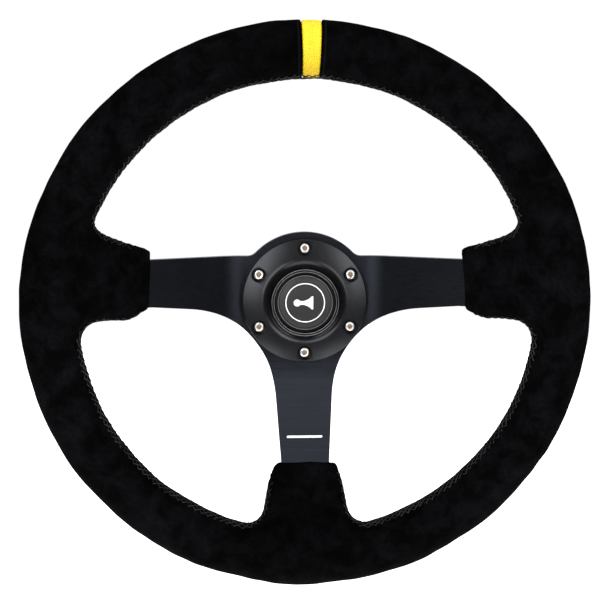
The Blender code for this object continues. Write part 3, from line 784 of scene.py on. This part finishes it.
def wedge_distance(points):
    """Distance outside the stripe's slot, in millimetres; large below the axis."""
    aside = np.abs(points[:, 0] - points[:, 2] * STRIPE_LEAN)
    distance = aside * math.cos(STRIPE_SEAM_ANGLE) - points[:, 2] * math.sin(STRIPE_SEAM_ANGLE)
    return np.where(points[:, 2] > 0, distance, FAR)


def coordinates(shape):
    return np.array([v.co for v in shape.verts], float)


def set_coordinates(shape, points):
    for vert, point in zip(shape.verts, points):
        vert.co = point


def near_stripe(face):
    centre = face.calc_center_median()
    return centre.z > 120 and abs(centre.x) < 14


def build_suede():
    data = remeshed(rough_grip(), 1.7)
    shape = bmesh.new()
    shape.from_mesh(data)
    bmesh.ops.scale(shape, vec=(1 / MM,) * 3, verts=shape.verts)
    set_coordinates(shape, onto_grip(coordinates(shape), 6))
    for _ in range(4):
        bmesh.ops.smooth_vert(
            shape, verts=shape.verts, factor=0.5, use_axis_x=True, use_axis_y=True, use_axis_z=True
        )
        set_coordinates(shape, onto_grip(coordinates(shape), 2))

    # finer along the seams and beside the stripe
    shape.verts.ensure_lookup_table()
    points = coordinates(shape)
    _, across, _ = near_seam(points)
    close = (np.abs(across) < SEAM_REACH - 0.5) | (wedge_distance(points) < 3)
    shape.verts.index_update()
    fine = [e for e in shape.edges if close[e.verts[0].index] and close[e.verts[1].index]]
    bmesh.ops.subdivide_edges(shape, edges=fine, cuts=1, use_grid_fill=True)
    for side in (-1, 1):
        turn = STRIPE_SEAM_ANGLE + side * STRIPE_LEAN
        normal = Vector((side * math.cos(turn), 0, -math.sin(turn)))
        for step in (-0.35, -0.02, 0.12, 0.4, 0.8, 1.3):
            faces = [face for face in shape.faces if near_stripe(face)]
            geometry = {item for f in faces for item in (f, *f.edges, *f.verts)}
            bmesh.ops.bisect_plane(
                shape, geom=list(geometry), dist=0.02, plane_co=normal * step, plane_no=normal
            )

    # the seams' relief and the stripe's slot, as moves along the normal
    points = onto_grip(coordinates(shape), 3)
    along, across, fade = near_seam(points)
    relief = np.where(np.abs(across) < FAR / 2, seam_relief(along, across) * fade, 0)
    beside = wedge_distance(points)
    shoulder = -0.9 * (1 - np.sqrt(1 - np.clip(1 - beside / 1.3, 0, 1) ** 2))
    relief = np.where(beside < 0.03, -2.4, relief + shoulder)
    set_coordinates(shape, points + normals_of(points) * relief[:, None])
    suede = add("suede_cover", to_mesh(shape, 70), "suede")
    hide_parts("grip_suede", "grip_foam")


def build_stripe():
    """The yellow band: a thin leather ring section with its edges tucked in."""
    rows, sides = 27, 128
    inset = 0.25
    turns = np.linspace(-1, 1, rows)
    shape = bmesh.new()
    rings = []

    def add_ring(turn, off_at):
        angle = math.pi / 2 - STRIPE_LEAN + turn * STRIPE_HALF_ANGLE
        ring = []
        for a in circle(sides):
            off = off_at(turn, a)
            radius = GRIP_RADIUS + (GRIP_HALF_WIDTH - inset + off) * math.cos(a)
            y = GRIP_Y + (GRIP_HALF_DEPTH - inset + off) * math.sin(a)
            ring.append(shape.verts.new((radius * math.cos(angle), y, radius * math.sin(angle))))
        rings.append(ring)

    def outer(turn, a):
        inner_bulge = 0.35 * max(0.0, -math.cos(a)) ** 6 * (1 - turn**2)
        return -0.45 + (-0.75 * abs(turn) ** 9 + 0.12 * (1 - turn**2) + inner_bulge)

    for turn in turns:
        add_ring(turn, outer)
    for turn in turns[::-1]:
        add_ring(turn, lambda turn, a: -1.8)
    join_rings(shape, rings + rings[:1])
    add("leather_stripe", to_mesh(shape, 60), "stripe_leather", "centre_stripe")


def tube(shape, points, radius):
    """A capped tube along a short line of points."""
    rings = []
    for point, tangent in zip(points, np.gradient(points, axis=0)):
        tangent = tangent / np.linalg.norm(tangent)
        side = np.cross(tangent, (0.31, 0.82, 0.47))
        side /= np.linalg.norm(side)
        up = np.cross(side, tangent)
        rings.append([
            shape.verts.new(point + radius * (side * math.cos(a) + up * math.sin(a)))
            for a in circle(6)
        ])
    join_rings(shape, rings)
    shape.faces.new(rings[0][::-1])
    shape.faces.new(rings[-1])


def build_stitches():
    """Cross stitches: each long thread slants over the seam and over the threads beside it."""
    shares = np.array([0.0, 0.06, 0.22, 0.4, 0.6, 0.78, 0.94, 1.0])
    heights = np.array([-1.1, 0.0, 0.05, 0.08, 0.08, 0.05, 0.0, -1.1])
    for name, slant, lift, radius, look in (
        # the under threads take the darker copy of the thread: painted shade
        ("stitches_under", -1, 0.0, 0.3, "thread_under"),
        ("stitches_over", 1, 0.3, 0.32, "thread"),
    ):
        shape = bmesh.new()
        source = random.Random(SEED + slant)
        for seam in SEAMS:
            count = int(seam.length[-1] / STITCH_PITCH) - 2
            starts = [(n + 1.3) * STITCH_PITCH + source.uniform(-0.5, 0.5) for n in range(count)]
            reaches = [STITCH_REACH + source.uniform(-0.6, 0.5) for _ in range(count)]
            spread = (shares - 0.5) * STITCH_SPAN * STITCH_PITCH
            along = (np.array(starts)[:, None] + spread).ravel()
            across = (slant * np.array(reaches)[:, None] * (shares * 2 - 1)).ravel()
            points = seam.at(along, across)
            height = np.tile(lift + heights, count)
            raised = points + normals_of(points) * height[:, None]
            for thread in raised.reshape(count, len(shares), 3):
                tube(shape, thread, radius)
        add(name, to_mesh(shape, 80), look)


# ---- Spoke plate ----

HUB_RADIUS = 45.3
PLATE_BORE = 23.5
ARM_BEND_AT = 46
ARM_BEND_RADIUS = 34
BEND_STEPS = 13
ARM_END_RADIUS = 148.8
ARM_TOP = 29.3
ARM_TOP_AT_RIM = 31.2
ARM_LOW_AT_RIM = 2
ARM_FILLET = 8
WEB_CORNER = (22.7, -11.1)
WEB_FILLET = 66
SIDE_ARM_FOOT = (98, 0.0)
LOWER_ARM_FOOT = (15.5, -102)
BOLT_HOLE = 2.8
PRINTED_BAR_AT = 88.0
PRINTED_BAR_HALF = (11.0, 0.75)
PLATE_ROWS = (75, 100, 125)  # further out than the bend, where the plate is divided


def bend_stations():
    half = ARM_BEND_RADIUS * math.tan(ARM_SLOPE / 2)
    tilts = np.linspace(0, ARM_SLOPE, BEND_STEPS)
    distances = ARM_BEND_AT - half + ARM_BEND_RADIUS * np.sin(tilts)
    fronts = PLATE_FRONT - ARM_BEND_RADIUS * (1 - np.cos(tilts))
    return distances, fronts, tilts


def arm_surface(distance):
    """Front face Y and the tilt's sine and cosine at this distance from the axis."""
    distances, fronts, tilts = bend_stations()
    front = float(np.interp(distance, distances, fronts))
    beyond = max(distance - distances[-1], 0)
    shift_out = float(np.interp(distance, distances, np.sin(tilts)))
    shift_back = float(np.interp(distance, distances, np.cos(tilts)))
    return front - beyond * math.tan(ARM_SLOPE), shift_out, shift_back


def fillet(before, corner, after, radius, count):
    corner = Vector(corner)
    first = (Vector(before) - corner).normalized()
    second = (Vector(after) - corner).normalized()
    half_angle = first.angle(second) / 2
    centre = corner + (first + second).normalized() * radius / math.sin(half_angle)
    start = corner + first * radius / math.tan(half_angle) - centre
    end = corner + second * radius / math.tan(half_angle) - centre
    sweep = start.angle_signed(end)
    first_turn = math.atan2(start.y, start.x)
    turns = [first_turn - sweep * k / (count - 1) for k in range(count)]
    return [(centre.x + radius * math.cos(a), centre.y + radius * math.sin(a)) for a in turns]


def plate_outline():
    rise = ARM_TOP + ARM_FILLET
    blend_x = math.sqrt((HUB_RADIUS + ARM_FILLET) ** 2 - rise**2)
    blend_angle = math.degrees(math.atan2(rise, blend_x))
    hub = arc((0, 0), HUB_RADIUS, 90, blend_angle, 30)
    blend = arc((blend_x, rise), ARM_FILLET, 180 + blend_angle, 270, 12)[1:]
    top_angle = math.degrees(math.asin(ARM_TOP_AT_RIM / ARM_END_RADIUS))
    low_angle = math.degrees(math.asin(ARM_LOW_AT_RIM / ARM_END_RADIUS))
    side_end = arc((0, 0), ARM_END_RADIUS, top_angle, low_angle, 4)
    web = fillet(SIDE_ARM_FOOT, WEB_CORNER, LOWER_ARM_FOOT, WEB_FILLET, 48)
    lower_angle = -math.degrees(math.acos(LOWER_ARM_FOOT[0] / ARM_END_RADIUS))
    lower_end = arc((0, 0), ARM_END_RADIUS, lower_angle, -90, 3)
    half = hub + blend + side_end + [SIDE_ARM_FOOT] + web + [LOWER_ARM_FOOT] + lower_end

    def leant(x, z, amount):
        return x - amount * min(max((-z - 10) / 20, 0), 1), z

    right = [leant(x, z, 0.3) for x, z in half]
    return right + [leant(-x, z, 0.8) for x, z in reversed(half[1:-1])]


def fold_corner(corner, depth):
    x, z = corner.co.x, corner.co.z
    side = abs(x) > bend_stations()[0][0]
    front, shift_out, shift_back = arm_surface(abs(x) if side else max(-z, 0))
    corner.co.y = front + depth * shift_back
    if side:
        corner.co.x = x + math.copysign(depth * shift_out, x)
    else:
        corner.co.z = z - depth * shift_out


def build_spokes():
    shape = bmesh.new()
    shape.faces.new([shape.verts.new((x, 0, z)) for x, z in plate_outline()])
    for distance in [*bend_stations()[0], *PLATE_ROWS]:
        for direction in ((1, 0, 0), (-1, 0, 0), (0, 0, -1)):
            normal = Vector(direction)
            everything = shape.verts[:] + shape.edges[:] + shape.faces[:]
            bmesh.ops.bisect_plane(
                shape, geom=everything, plane_co=normal * distance, plane_no=normal
            )
    front = shape.verts[:]
    grown = bmesh.ops.extrude_face_region(shape, geom=shape.faces[:])["geom"]
    back = [item for item in grown if isinstance(item, bmesh.types.BMVert)]
    for corners, depth in ((front, 0), (back, PLATE)):
        for corner in corners:
            fold_corner(corner, depth)
    ends = (PLATE_FRONT - 5, 0)
    tools = [rod(PLATE_BORE, *ends, 96), *at_bolts(lambda: rod(BOLT_HOLE, *ends, 32))]
    plate = add("spoke_plate", cut(to_mesh(shape, 20), tools, 20), "satin_black", "spoke_frame")
    bevelled(plate, 0.6, 3)


def build_printed_bar():
    half_length, half_width = PRINTED_BAR_HALF
    ends = [math.pi / 2 + math.pi * k / 8 for k in range(9)]
    left = [(-half_length + half_width * math.cos(t), half_width * math.sin(t)) for t in ends]
    shape = prism(left + [(-x, z) for x, z in reversed(left)], -0.2, 0.1)
    lean = Matrix.Rotation(-ARM_SLOPE, 3, "X")
    bmesh.ops.rotate(shape, verts=shape.verts, cent=(0, 0, 0), matrix=lean)
    at = (-0.7, arm_surface(PRINTED_BAR_AT)[0], -PRINTED_BAR_AT)
    bmesh.ops.translate(shape, vec=at, verts=shape.verts)
    add("printed_bar", to_mesh(shape), "emblem_print")


# ---- Horn ring, bolts and horn push ----

# Of the horn ring and the cap, in front of the plate
FLANGE_FRONT = 7
LIP_RADIUS = 22.1
THROAT_RADIUS = 20.3
BOLT_TOP = 5
EDGE_LINE_SIDES = 16


def edge_line(name, radius, front, thickness, look, body="wheel"):
    """A fine ring of reflected light along a turned piece's edge."""
    section = arc((radius, front), thickness, 0, 345, EDGE_LINE_SIDES)
    add(name, turned(from_plate(section), 160), look, body=body)


def build_horn_ring():
    rim, sweep, corner = 41.2, 7.5, 0.5
    rim_front = FLANGE_FRONT - corner - 0.9
    profile = [
        (27, 0.3), (rim - 0.3, 0.3), (rim, 0.6), (rim, rim_front),
        *arc((40.7, rim_front), corner, 0, 80, 6),
        *arc((LIP_RADIUS + sweep - 0.05, FLANGE_FRONT + sweep), sweep, -94.5, -172.8, 24),
        *arc((LIP_RADIUS - 0.45, 13.6), 0.4, 0, 90, 6),
        *arc((THROAT_RADIUS + 0.4, 13.6), 0.4, 90, 180, 6),
        (THROAT_RADIUS, 9.2), (22.0, 9.2), (22.0, 6.2), (27, 6.2),
    ]
    counterbore, above, seat = 4.85, before_plate(15), before_plate(BOLT_TOP - 3.1 - 0.3)
    stepped = [
        (0, above), (counterbore, above), (counterbore, seat),
        (BOLT_HOLE, seat), (BOLT_HOLE, PLATE_FRONT), (0, PLATE_FRONT),
    ]
    blank = turned(from_plate(profile), 160, 30)
    data = cut(blank, at_bolts(lambda: turned(stepped, 40)))
    bevelled(add("horn_ring_turned", data, "black_anodised", "horn_ring"), 0.2)
    # lighter metal rings along both edges of the lip: painted highlights
    edge_line("lip_highlight_outer", LIP_RADIUS - 0.2, 13.8, 0.25, "rubbed_edge")
    edge_line("lip_highlight_inner", THROAT_RADIUS + 0.2, 13.8, 0.25, "rubbed_edge")


def build_bolts():
    top, under, tip = before_plate(BOLT_TOP), before_plate(1.9), before_plate(-12.3)
    head, shank, rounding = 3.55, 2.5, 1.3
    profile = [
        (0, top + 0.15), (1.9, top + 0.1), (2.2, top),
        *[(head - rounding + rounding * math.sin(a), top + rounding * (1 - math.cos(a)))
          for a in np.linspace(0.1, math.pi / 2, 8)],
        (head, under - 0.2), (head - 0.2, under), (shank, under),
        (shank, tip - 0.5), (shank - 0.5, tip), (0, tip),
    ]
    hexagon = [(1.73 * math.cos(a), 1.73 * math.sin(a)) for a in np.radians(range(0, 360, 60))]
    source = random.Random(SEED)
    for number, (x, z, _) in enumerate(around(BOLT_COUNT, BOLT_CIRCLE), 1):
        socket = to_mesh(prism(hexagon, top - 1, top + 2.3))
        data = cut(turned(profile, 48), [socket])
        data.transform(Matrix.Rotation(source.uniform(0, math.tau), 4, "Y"))
        bolt = add(
            f"socket_bolt_{number}", shifted(data, x, z), "bolt_steel", f"wheel_bolt_{number}"
        )
        bevelled(bolt, 0.12)
        # a darker, brownish disc at the bottom of each hex socket: painted shade in the recess
        base = shifted(rod(1.45, top + 1.2, top + 1.6, 24), x, z)
        add(f"socket_painted_shade_{number}", base, "bolt_recess")


def build_horn_push():
    cap, front, recess, disc = 18.0, 12.9, 17.0, 16.9
    floor = front - 0.8
    profile = [
        (0, floor), (recess, floor),
        *arc((recess + 0.15, front - 0.15), 0.15, 180, 90, 4),
        *arc((cap - 0.35, front - 0.35), 0.35, 90, 0, 6),
        (cap, 7.6), (cap + 1, 7.6), (cap + 1, 5.6), (cap - 1.7, 5.6),
        (cap - 1.7, floor - 1.6), (0, floor - 1.6),
    ]
    moulded = turned(from_plate(profile), 128, 30)
    add("horn_cap_moulded", moulded, "black_plastic", "horn_cap", "horn_push")
    # a lighter grey ring along the cap's edge: painted highlight
    edge_line("cap_edge", cap - 0.2, front - 0.22, 0.24, "cap_edge", "horn_push")

    def dome_front(r):
        level = 1 - (r / disc) ** 2
        return floor + 0.3 + math.sqrt(max(0, level)) * 0.35 + 0.65 * level

    dome = [
        (0, floor + 1.3), *[(r, dome_front(r)) for r in np.linspace(2, disc - 0.05, 16)],
        (disc, floor + 0.5), (disc, floor + 0.3), (0, floor + 0.3),
    ]
    domed = turned(from_plate(dome), 128, 40)
    add("horn_emblem_domed", domed, "emblem_face", "horn_emblem", "horn_push")

    ring_low, ring_mid, ring_high = 12.7 - 0.32, 12.7, 12.7 + 0.32
    sunk = dome_front(ring_mid) - 0.1
    printed = [
        (ring_low, sunk), (ring_high, sunk),
        (ring_high, dome_front(ring_high) + 0.05), (ring_low, dome_front(ring_low) + 0.05),
    ]
    add("emblem_ring", turned(from_plate(printed)), "emblem_print", body="horn_push")

    upper = [
        (-5.2, 1.25), (-1.6, 1.25), (-1.0, 1.5), (0.6, 2.0), (2.3, 3.0), (3.6, 4.3), (4.5, 4.3),
    ]
    bell = [(x, -z) for x, z in upper] + upper[::-1]
    bulb = [(-6.0 + 2.3 * math.cos(a), 2.3 * math.sin(a)) for a in circle(28)]
    shape = bmesh.new()
    for outline, proud in ((bell, 1.37), (bulb, 1.43)):
        outline = [(x + 0.7, z) for x, z in outline]
        part = prism(outline, before_plate(floor + proud), before_plate(floor + 0.9))
        shape.from_mesh(plain_mesh(part))
    add("emblem_horn", to_mesh(shape, 40), "emblem_print", body="horn_push")


# ---- Inside the horn push ----

GAP = 0.3
HORN_CONTACT_FRONT = 2.5


def add_turned(name, profile, look, node, body="wheel", edge=0.0):
    piece = add(name, turned(profile, 96, 30), look, node, body)
    if edge:
        bevelled(piece, edge)


def washer(inner, outer, back, front):
    return from_plate([(inner, back), (outer, back), (outer, front), (inner, front)])


def coil(name, radius, wire, turns, y_low, y_high, node):
    """A coil spring about the Y axis, with a nearly closed turn at each end."""
    steps, sides = 36, 10
    end_turn, end_pitch = 0.9, 2.3 * wire
    length = y_high - y_low - 2 * wire
    pitch = (length - 2 * end_turn * end_pitch) / (turns - 2 * end_turn)
    shape = bmesh.new()
    rings = []
    for index in range(int(turns * steps) + 1):
        turn = index / steps
        open_turns = min(max(turn - end_turn, 0), turns - 2 * end_turn)
        y = y_low + wire + end_pitch * (turn - open_turns) + pitch * open_turns
        a = math.tau * turn
        ring = []
        for b in circle(sides):
            out = radius + wire * math.cos(b)
            place = (out * math.cos(a), y + wire * math.sin(b), out * math.sin(a))
            ring.append(shape.verts.new(place))
        rings.append(ring)
    join_rings(shape, rings)
    shape.faces.new(rings[0])
    shape.faces.new(rings[-1])
    spring = add(name, to_mesh(shape, 60), "spring_steel", node)
    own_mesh(spring)


def build_horn_inside():
    neck, body, flange, guide, chamber = 19.9, 21.7, 26.6, 18.2, 19.2
    back, floor, ledge, cap_stop, rim = -4.5, -2.9, 1.2, 7.3, 10.6
    profile = [
        (0, back), (body, back), (body, 3.7), (flange, 3.7), (flange, 5.9), (body, 5.9),
        (body, 8.9), (neck, 8.9), (neck, rim), (guide, rim), (guide, cap_stop), (chamber, cap_stop),
        (chamber, ledge), (15, ledge), (15, floor), (0, floor),
    ]
    housing = from_plate(profile)
    gasket = washer(body + 0.4, flange, GAP, 3.4)
    moving = washer(10, chamber - 0.6, HORN_CONTACT_FRONT + 2.2, 5.3)
    fixed = washer(15.4, chamber - GAP, HORN_CONTACT_FRONT - 1, HORN_CONTACT_FRONT)
    add_turned(
        "horn_housing_moulded", housing, "matt_plastic", "horn_housing"
    )
    add_turned("horn_gasket_ring", gasket, "rubber", "horn_gasket", edge=0.3)
    for kind, ring, rides_on in (("moving", moving, "horn_push"), ("fixed", fixed, "wheel")):
        node = f"horn_contact_{kind}"
        add_turned(f"contact_ring_{kind}", ring, "brass", node, rides_on, edge=0.15)
    coil(
        "horn_return_coil", 8, 0.5, 4.5, before_plate(10.2), before_plate(floor + GAP),
        "horn_spring",
    )


# ---- Quick-release coupler ----

COUPLER_LENGTH = 46.0
FLANGE_RADIUS = 41.0
FLANGE_BACK = -38.0
BARREL_RADIUS = 23.5
BARREL_BORE = 17.5
BALL_RADIUS = 4.0
BALL_CIRCLE = 19.5
BALL_COUNT = 6
BALL_Y = -18.0
BORE_FLOOR = -34.0
CONTACT_BORE = 8.0
WIRING_ROOM = 18.0
CLIP_GROOVE = (-3.4, -1.6)
CLIP_DEPTH = 1.2
SEAL_Y = -3.5
SEAL_RADIUS = 0.9
COLLAR_LAND = 23.9
COLLAR_RADIUS = 29.6
COLLAR_LIP = 34.6


def aimed(data, angle, distance, y):
    """Turns mesh data made along Y to point outwards from the wheel's axis."""
    out = Vector((math.cos(angle), 0, math.sin(angle)))
    turn = Vector((0, 1, 0)).rotation_difference(out).to_matrix().to_4x4()
    data.transform(Matrix.Translation((out * distance + Vector((0, y, 0))) * MM) @ turn)
    return data


def build_coupler():
    edge, foot = 0.6, 1.2
    seal_low, seal_high = SEAL_Y - (SEAL_RADIUS + GAP), SEAL_Y + (SEAL_RADIUS + GAP)
    groove, seal_groove = BARREL_RADIUS - CLIP_DEPTH, BARREL_BORE + 1.6
    profile = [
        (WIRING_ROOM, -COUPLER_LENGTH), (FLANGE_RADIUS - edge, -COUPLER_LENGTH),
        *arc((FLANGE_RADIUS - edge, -COUPLER_LENGTH + edge), edge, -90, 0, 5),
        *arc((FLANGE_RADIUS - edge, FLANGE_BACK - edge), edge, 0, 90, 5),
        *arc((BARREL_RADIUS + foot, FLANGE_BACK + foot), foot, 270, 180, 6),
        (BARREL_RADIUS, CLIP_GROOVE[0]), (groove, CLIP_GROOVE[0]),
        (groove, CLIP_GROOVE[1]), (BARREL_RADIUS, CLIP_GROOVE[1]),
        (BARREL_RADIUS, -edge), (BARREL_RADIUS - edge, 0),
        (BARREL_BORE + edge, 0), (BARREL_BORE, -edge),
        (BARREL_BORE, seal_high), (seal_groove, seal_high),
        (seal_groove, seal_low), (BARREL_BORE, seal_low),
        (BARREL_BORE, BORE_FLOOR), (CONTACT_BORE, BORE_FLOOR),
        (CONTACT_BORE, FLANGE_BACK), (WIRING_ROOM, FLANGE_BACK),
    ]
    below, above = FLANGE_BACK - 0.6, FLANGE_BACK + 0.4
    tools = at_bolts(
        lambda: rod(BOLT_HOLE, -COUPLER_LENGTH - 1, FLANGE_BACK + 1),
        lambda: turned([(0, below), (BOLT_HOLE, below), (BOLT_HOLE + 1, above), (0, above)], 40),
    )
    mouth, neck = BALL_RADIUS + 0.25, BALL_RADIUS - GAP
    pocket = [
        (0, BARREL_BORE - 0.5), (neck, BARREL_BORE - 0.5), (neck, BARREL_BORE - 0.2),
        (mouth, BARREL_BORE + 1.5), (mouth, BARREL_RADIUS + 1.5), (0, BARREL_RADIUS + 1.5),
    ]
    for _, _, angle in around(BALL_COUNT, 0):
        tools.append(aimed(turned(pocket, 36), angle, 0, BALL_Y))
    add("coupler_turned", cut(turned(profile, 144), tools), "coupler_black", "coupler_body")


def build_spline():
    teeth, tip, root = 12, 12.4, 14.4
    low, high = BORE_FLOOR + GAP, BORE_FLOOR + 7.7
    outside, bore = BARREL_BORE - GAP, tip - 1
    blank = [
        (bore, low), (outside, low), (outside, high - 0.5), (outside - 0.5, high), (bore, high),
    ]
    outline = []
    for _, _, angle in around(teeth, 0):
        for radius, first, last in ((root, -6.5, 6.5), (tip, 9, 21)):
            for offset in np.linspace(first, last, 4):
                turn = angle + math.radians(offset)
                outline.append((radius * math.cos(turn), radius * math.sin(turn)))
    broach = to_mesh(prism(outline, low - 1, high + 1))
    data = cut(turned(blank, 120), [broach])
    bevelled(add("spline_broached", data, "hardened_steel", "drive_spline"), 0.2)


def build_contacts():
    radius, low, high = 1.2, FLANGE_BACK - 3, BORE_FLOOR + 5
    holes = []
    for name, x in (("live", -3.5), ("earth", 3.5)):
        holes.append(shifted(rod(radius + GAP, low, high), x, 0))
        profile = [(0, low), (radius, low), *arc((0, high - radius), radius, 0, 90, 8)]
        probe = shifted(turned(profile, 32), x, 0)
        add(f"probe_{name}", probe, "brass", f"contact_pin_{name}")
    disc = rod(CONTACT_BORE - GAP, FLANGE_BACK + GAP, BORE_FLOOR - GAP, 72)
    bevelled(add("insulator_disc", cut(disc, holes), "nylon", "contact_insulator"), 0.25)


def build_balls():
    for number, (_, _, angle) in enumerate(around(BALL_COUNT, 0), 1):
        shape = bmesh.new()
        bmesh.ops.create_uvsphere(shape, u_segments=36, v_segments=24, radius=BALL_RADIUS)
        data = aimed(to_mesh(shape, 80), angle, BALL_CIRCLE, BALL_Y)
        node, body = f"lock_ball_{number}", f"ball_{number}"
        add(f"locking_ball_{number}", data, "ball_steel", node, body)


def build_collar():
    front, back = FLANGE_BACK + 8.3, CLIP_GROOVE[0]
    spring_seat = front + 5.7
    pocket = COLLAR_LAND + 2.3
    ramp, ramp_end = COLLAR_LAND + 2.34, -9.5
    flute = 3.2
    profile = [
        (COLLAR_LAND, spring_seat), (pocket, spring_seat), (pocket, front),
        *arc((COLLAR_RADIUS - 0.6, front + 0.6), 0.6, -90, 0, 5),
        (COLLAR_RADIUS, back - 12.6),
        *arc((COLLAR_RADIUS + 3.2, back - 11.1), 3.2, 180, 118, 6),
        (COLLAR_LIP - 1, back - 7),
        *arc((COLLAR_LIP - 1, back - 6), 1, -80, 0, 6),
        *arc((COLLAR_LIP - 1, back - 1), 1, 0, 90, 6),
        (COLLAR_LAND + 0.4, back), (COLLAR_LAND, back - 0.4), (COLLAR_LAND, back - 1.8),
        (ramp, back - 1.8), (ramp, ramp_end), (COLLAR_LAND, BALL_Y),
    ]
    flutes = [
        shifted(rod(flute, back - 12.6, 1, 32), x, z)
        for x, z, _ in around(20, COLLAR_LIP + 2.2, 4.5)
    ]
    data = cut(turned(profile, 160), flutes)
    add("collar_fluted", data, "collar_black", "release_collar", "collar")
    spring_low = FLANGE_BACK + GAP
    coil(
        "collar_coil", COLLAR_LAND + 1.3, 0.65, 3.5, spring_low, spring_seat - GAP,
        "collar_spring",
    )


def build_clip_and_seal():
    inner = BARREL_RADIUS - CLIP_DEPTH + GAP
    outer = inner + 2.7
    sweep = np.radians(np.linspace(-164, 164, 90))
    outline = [(outer * math.sin(a), outer * math.cos(a)) for a in sweep]
    outline += [(inner * math.sin(a), inner * math.cos(a)) for a in sweep[::-1]]
    shape = prism(outline, CLIP_GROOVE[0] + GAP, CLIP_GROOVE[1] - GAP)
    clip = add("clip_ring", to_mesh(shape, 30), "hardened_steel", "collar_circlip")
    bevelled(clip, 0.2, limit=60)
    ring = arc((BARREL_BORE + 0.4, SEAL_Y), SEAL_RADIUS, 0, 345, 24)
    add_turned("seal_ring", ring, "rubber", "mouth_seal")


# ---- Carried-over CAD nodes ----

CARRIED = {
    "rim_core": "rim_steel",
    "horn_terminal_live": "brass",
    "horn_terminal_earth": "brass",
}


def finish_carried():
    for name, look in CARRIED.items():
        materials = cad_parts[name].data.materials
        materials.clear()
        materials.append(LOOKS[look])


# ---- Stage, light and camera ----

FLOOR_PLACE = (0, 0.95, -0.40)
FLOOR_RADIUS = 1.1
TARGET = Vector((0, -0.1073, 0))
CAMERA_DISTANCE = 0.613
CAMERA_ELEVATION = 9.9
CAMERA_AZIMUTH = -2.85
CAMERA_ROLL = math.radians(0.2)
SOFTBOXES = {
    # name: azimuth, elevation, distance, width, height, power
    "softbox_left": (-19, 8, 1.4, 0.42, 0.75, 6.5),
    "softbox_right": (24, 9, 1.4, 0.38, 0.75, 5),
    "softbox_top": (0, 56, 1.4, 1.3, 1.1, 12.5),
    "softbox_low_left": (-27, -46, 0.9, 0.46, 0.46, 3.6),
    "softbox_low_right": (28, -45, 0.9, 0.46, 0.46, 3.1),
    "softbox_rear": (180, 12, 1.7, 2.4, 1.4, 9),
}
# How bright the white surroundings are to the camera and to two kinds of reflected ray
SKY = {"Is Camera Ray": 1.02, "Is Diffuse Ray": 0.7, "Is Glossy Ray": 0.16}


def towards(azimuth, elevation):
    """The direction from the wheel to a place seen at these angles, in degrees."""
    a, e = math.radians(azimuth), math.radians(elevation)
    return Vector((math.sin(a) * math.cos(e), -math.cos(a) * math.cos(e), math.sin(e)))


def build_stage():
    look = Look("floor", (0.93, 0.93, 0.93), 0.9)
    fill(look.shader, {"Emission Color": (1, 1, 1, 1), "Emission Strength": 0.9})
    shape = bmesh.new()
    bmesh.ops.create_circle(shape, cap_ends=True, segments=96, radius=FLOOR_RADIUS)
    floor = placed("floor", plain_mesh(shape))
    floor.data.materials.append(look.material)
    floor.location = FLOOR_PLACE

    world = bpy.data.worlds.new("studio")
    bpy.context.scene.world = world
    world.use_nodes = True
    tree = world.node_tree
    ray = tree.nodes.new("ShaderNodeLightPath")
    strength = 0.0
    for kind, amount in SKY.items():
        inputs = {0: ray.outputs[kind], 1: amount, 2: strength}
        strength = add_node(tree, "ShaderNodeMath", inputs, operation="MULTIPLY_ADD")
    fill(tree.nodes["Background"], {"Color": (1, 1, 1, 1), "Strength": strength})


def build_light():
    for name, (azimuth, elevation, distance, width, height, power) in SOFTBOXES.items():
        light = bpy.data.lights.new(name, "AREA")
        light.shape = "RECTANGLE"
        light.size, light.size_y = width, height
        light.energy = power
        lamp = placed(name, light)
        back = towards(azimuth, elevation)
        lamp.location = TARGET + back * distance
        lamp.rotation_mode = "QUATERNION"
        lamp.rotation_quaternion = back.to_track_quat("Z", "Y")


def build_camera():
    data = bpy.data.cameras.new("camera")
    data.lens = 59.9
    data.sensor_width = 36
    data.shift_x = -0.0141
    data.shift_y = 0.0235
    data.clip_start, data.clip_end = 0.01, 50
    camera = placed("camera", data)
    back = towards(CAMERA_AZIMUTH, CAMERA_ELEVATION)
    camera.location = TARGET + back * CAMERA_DISTANCE
    camera.rotation_mode = "QUATERNION"
    roll = Matrix.Rotation(CAMERA_ROLL, 3, "Z").to_quaternion()
    camera.rotation_quaternion = (-back).to_track_quat("-Z", "Y") @ roll
    bpy.context.scene.camera = camera
    bpy.context.scene.view_settings.view_transform = "Standard"


build_stage()
build_light()
build_camera()
build_suede()
build_stripe()
build_stitches()
build_spokes()
build_printed_bar()
build_horn_ring()
build_bolts()
build_horn_push()
build_horn_inside()
build_coupler()
build_spline()
build_contacts()
build_balls()
build_collar()
build_clip_and_seal()
finish_carried()
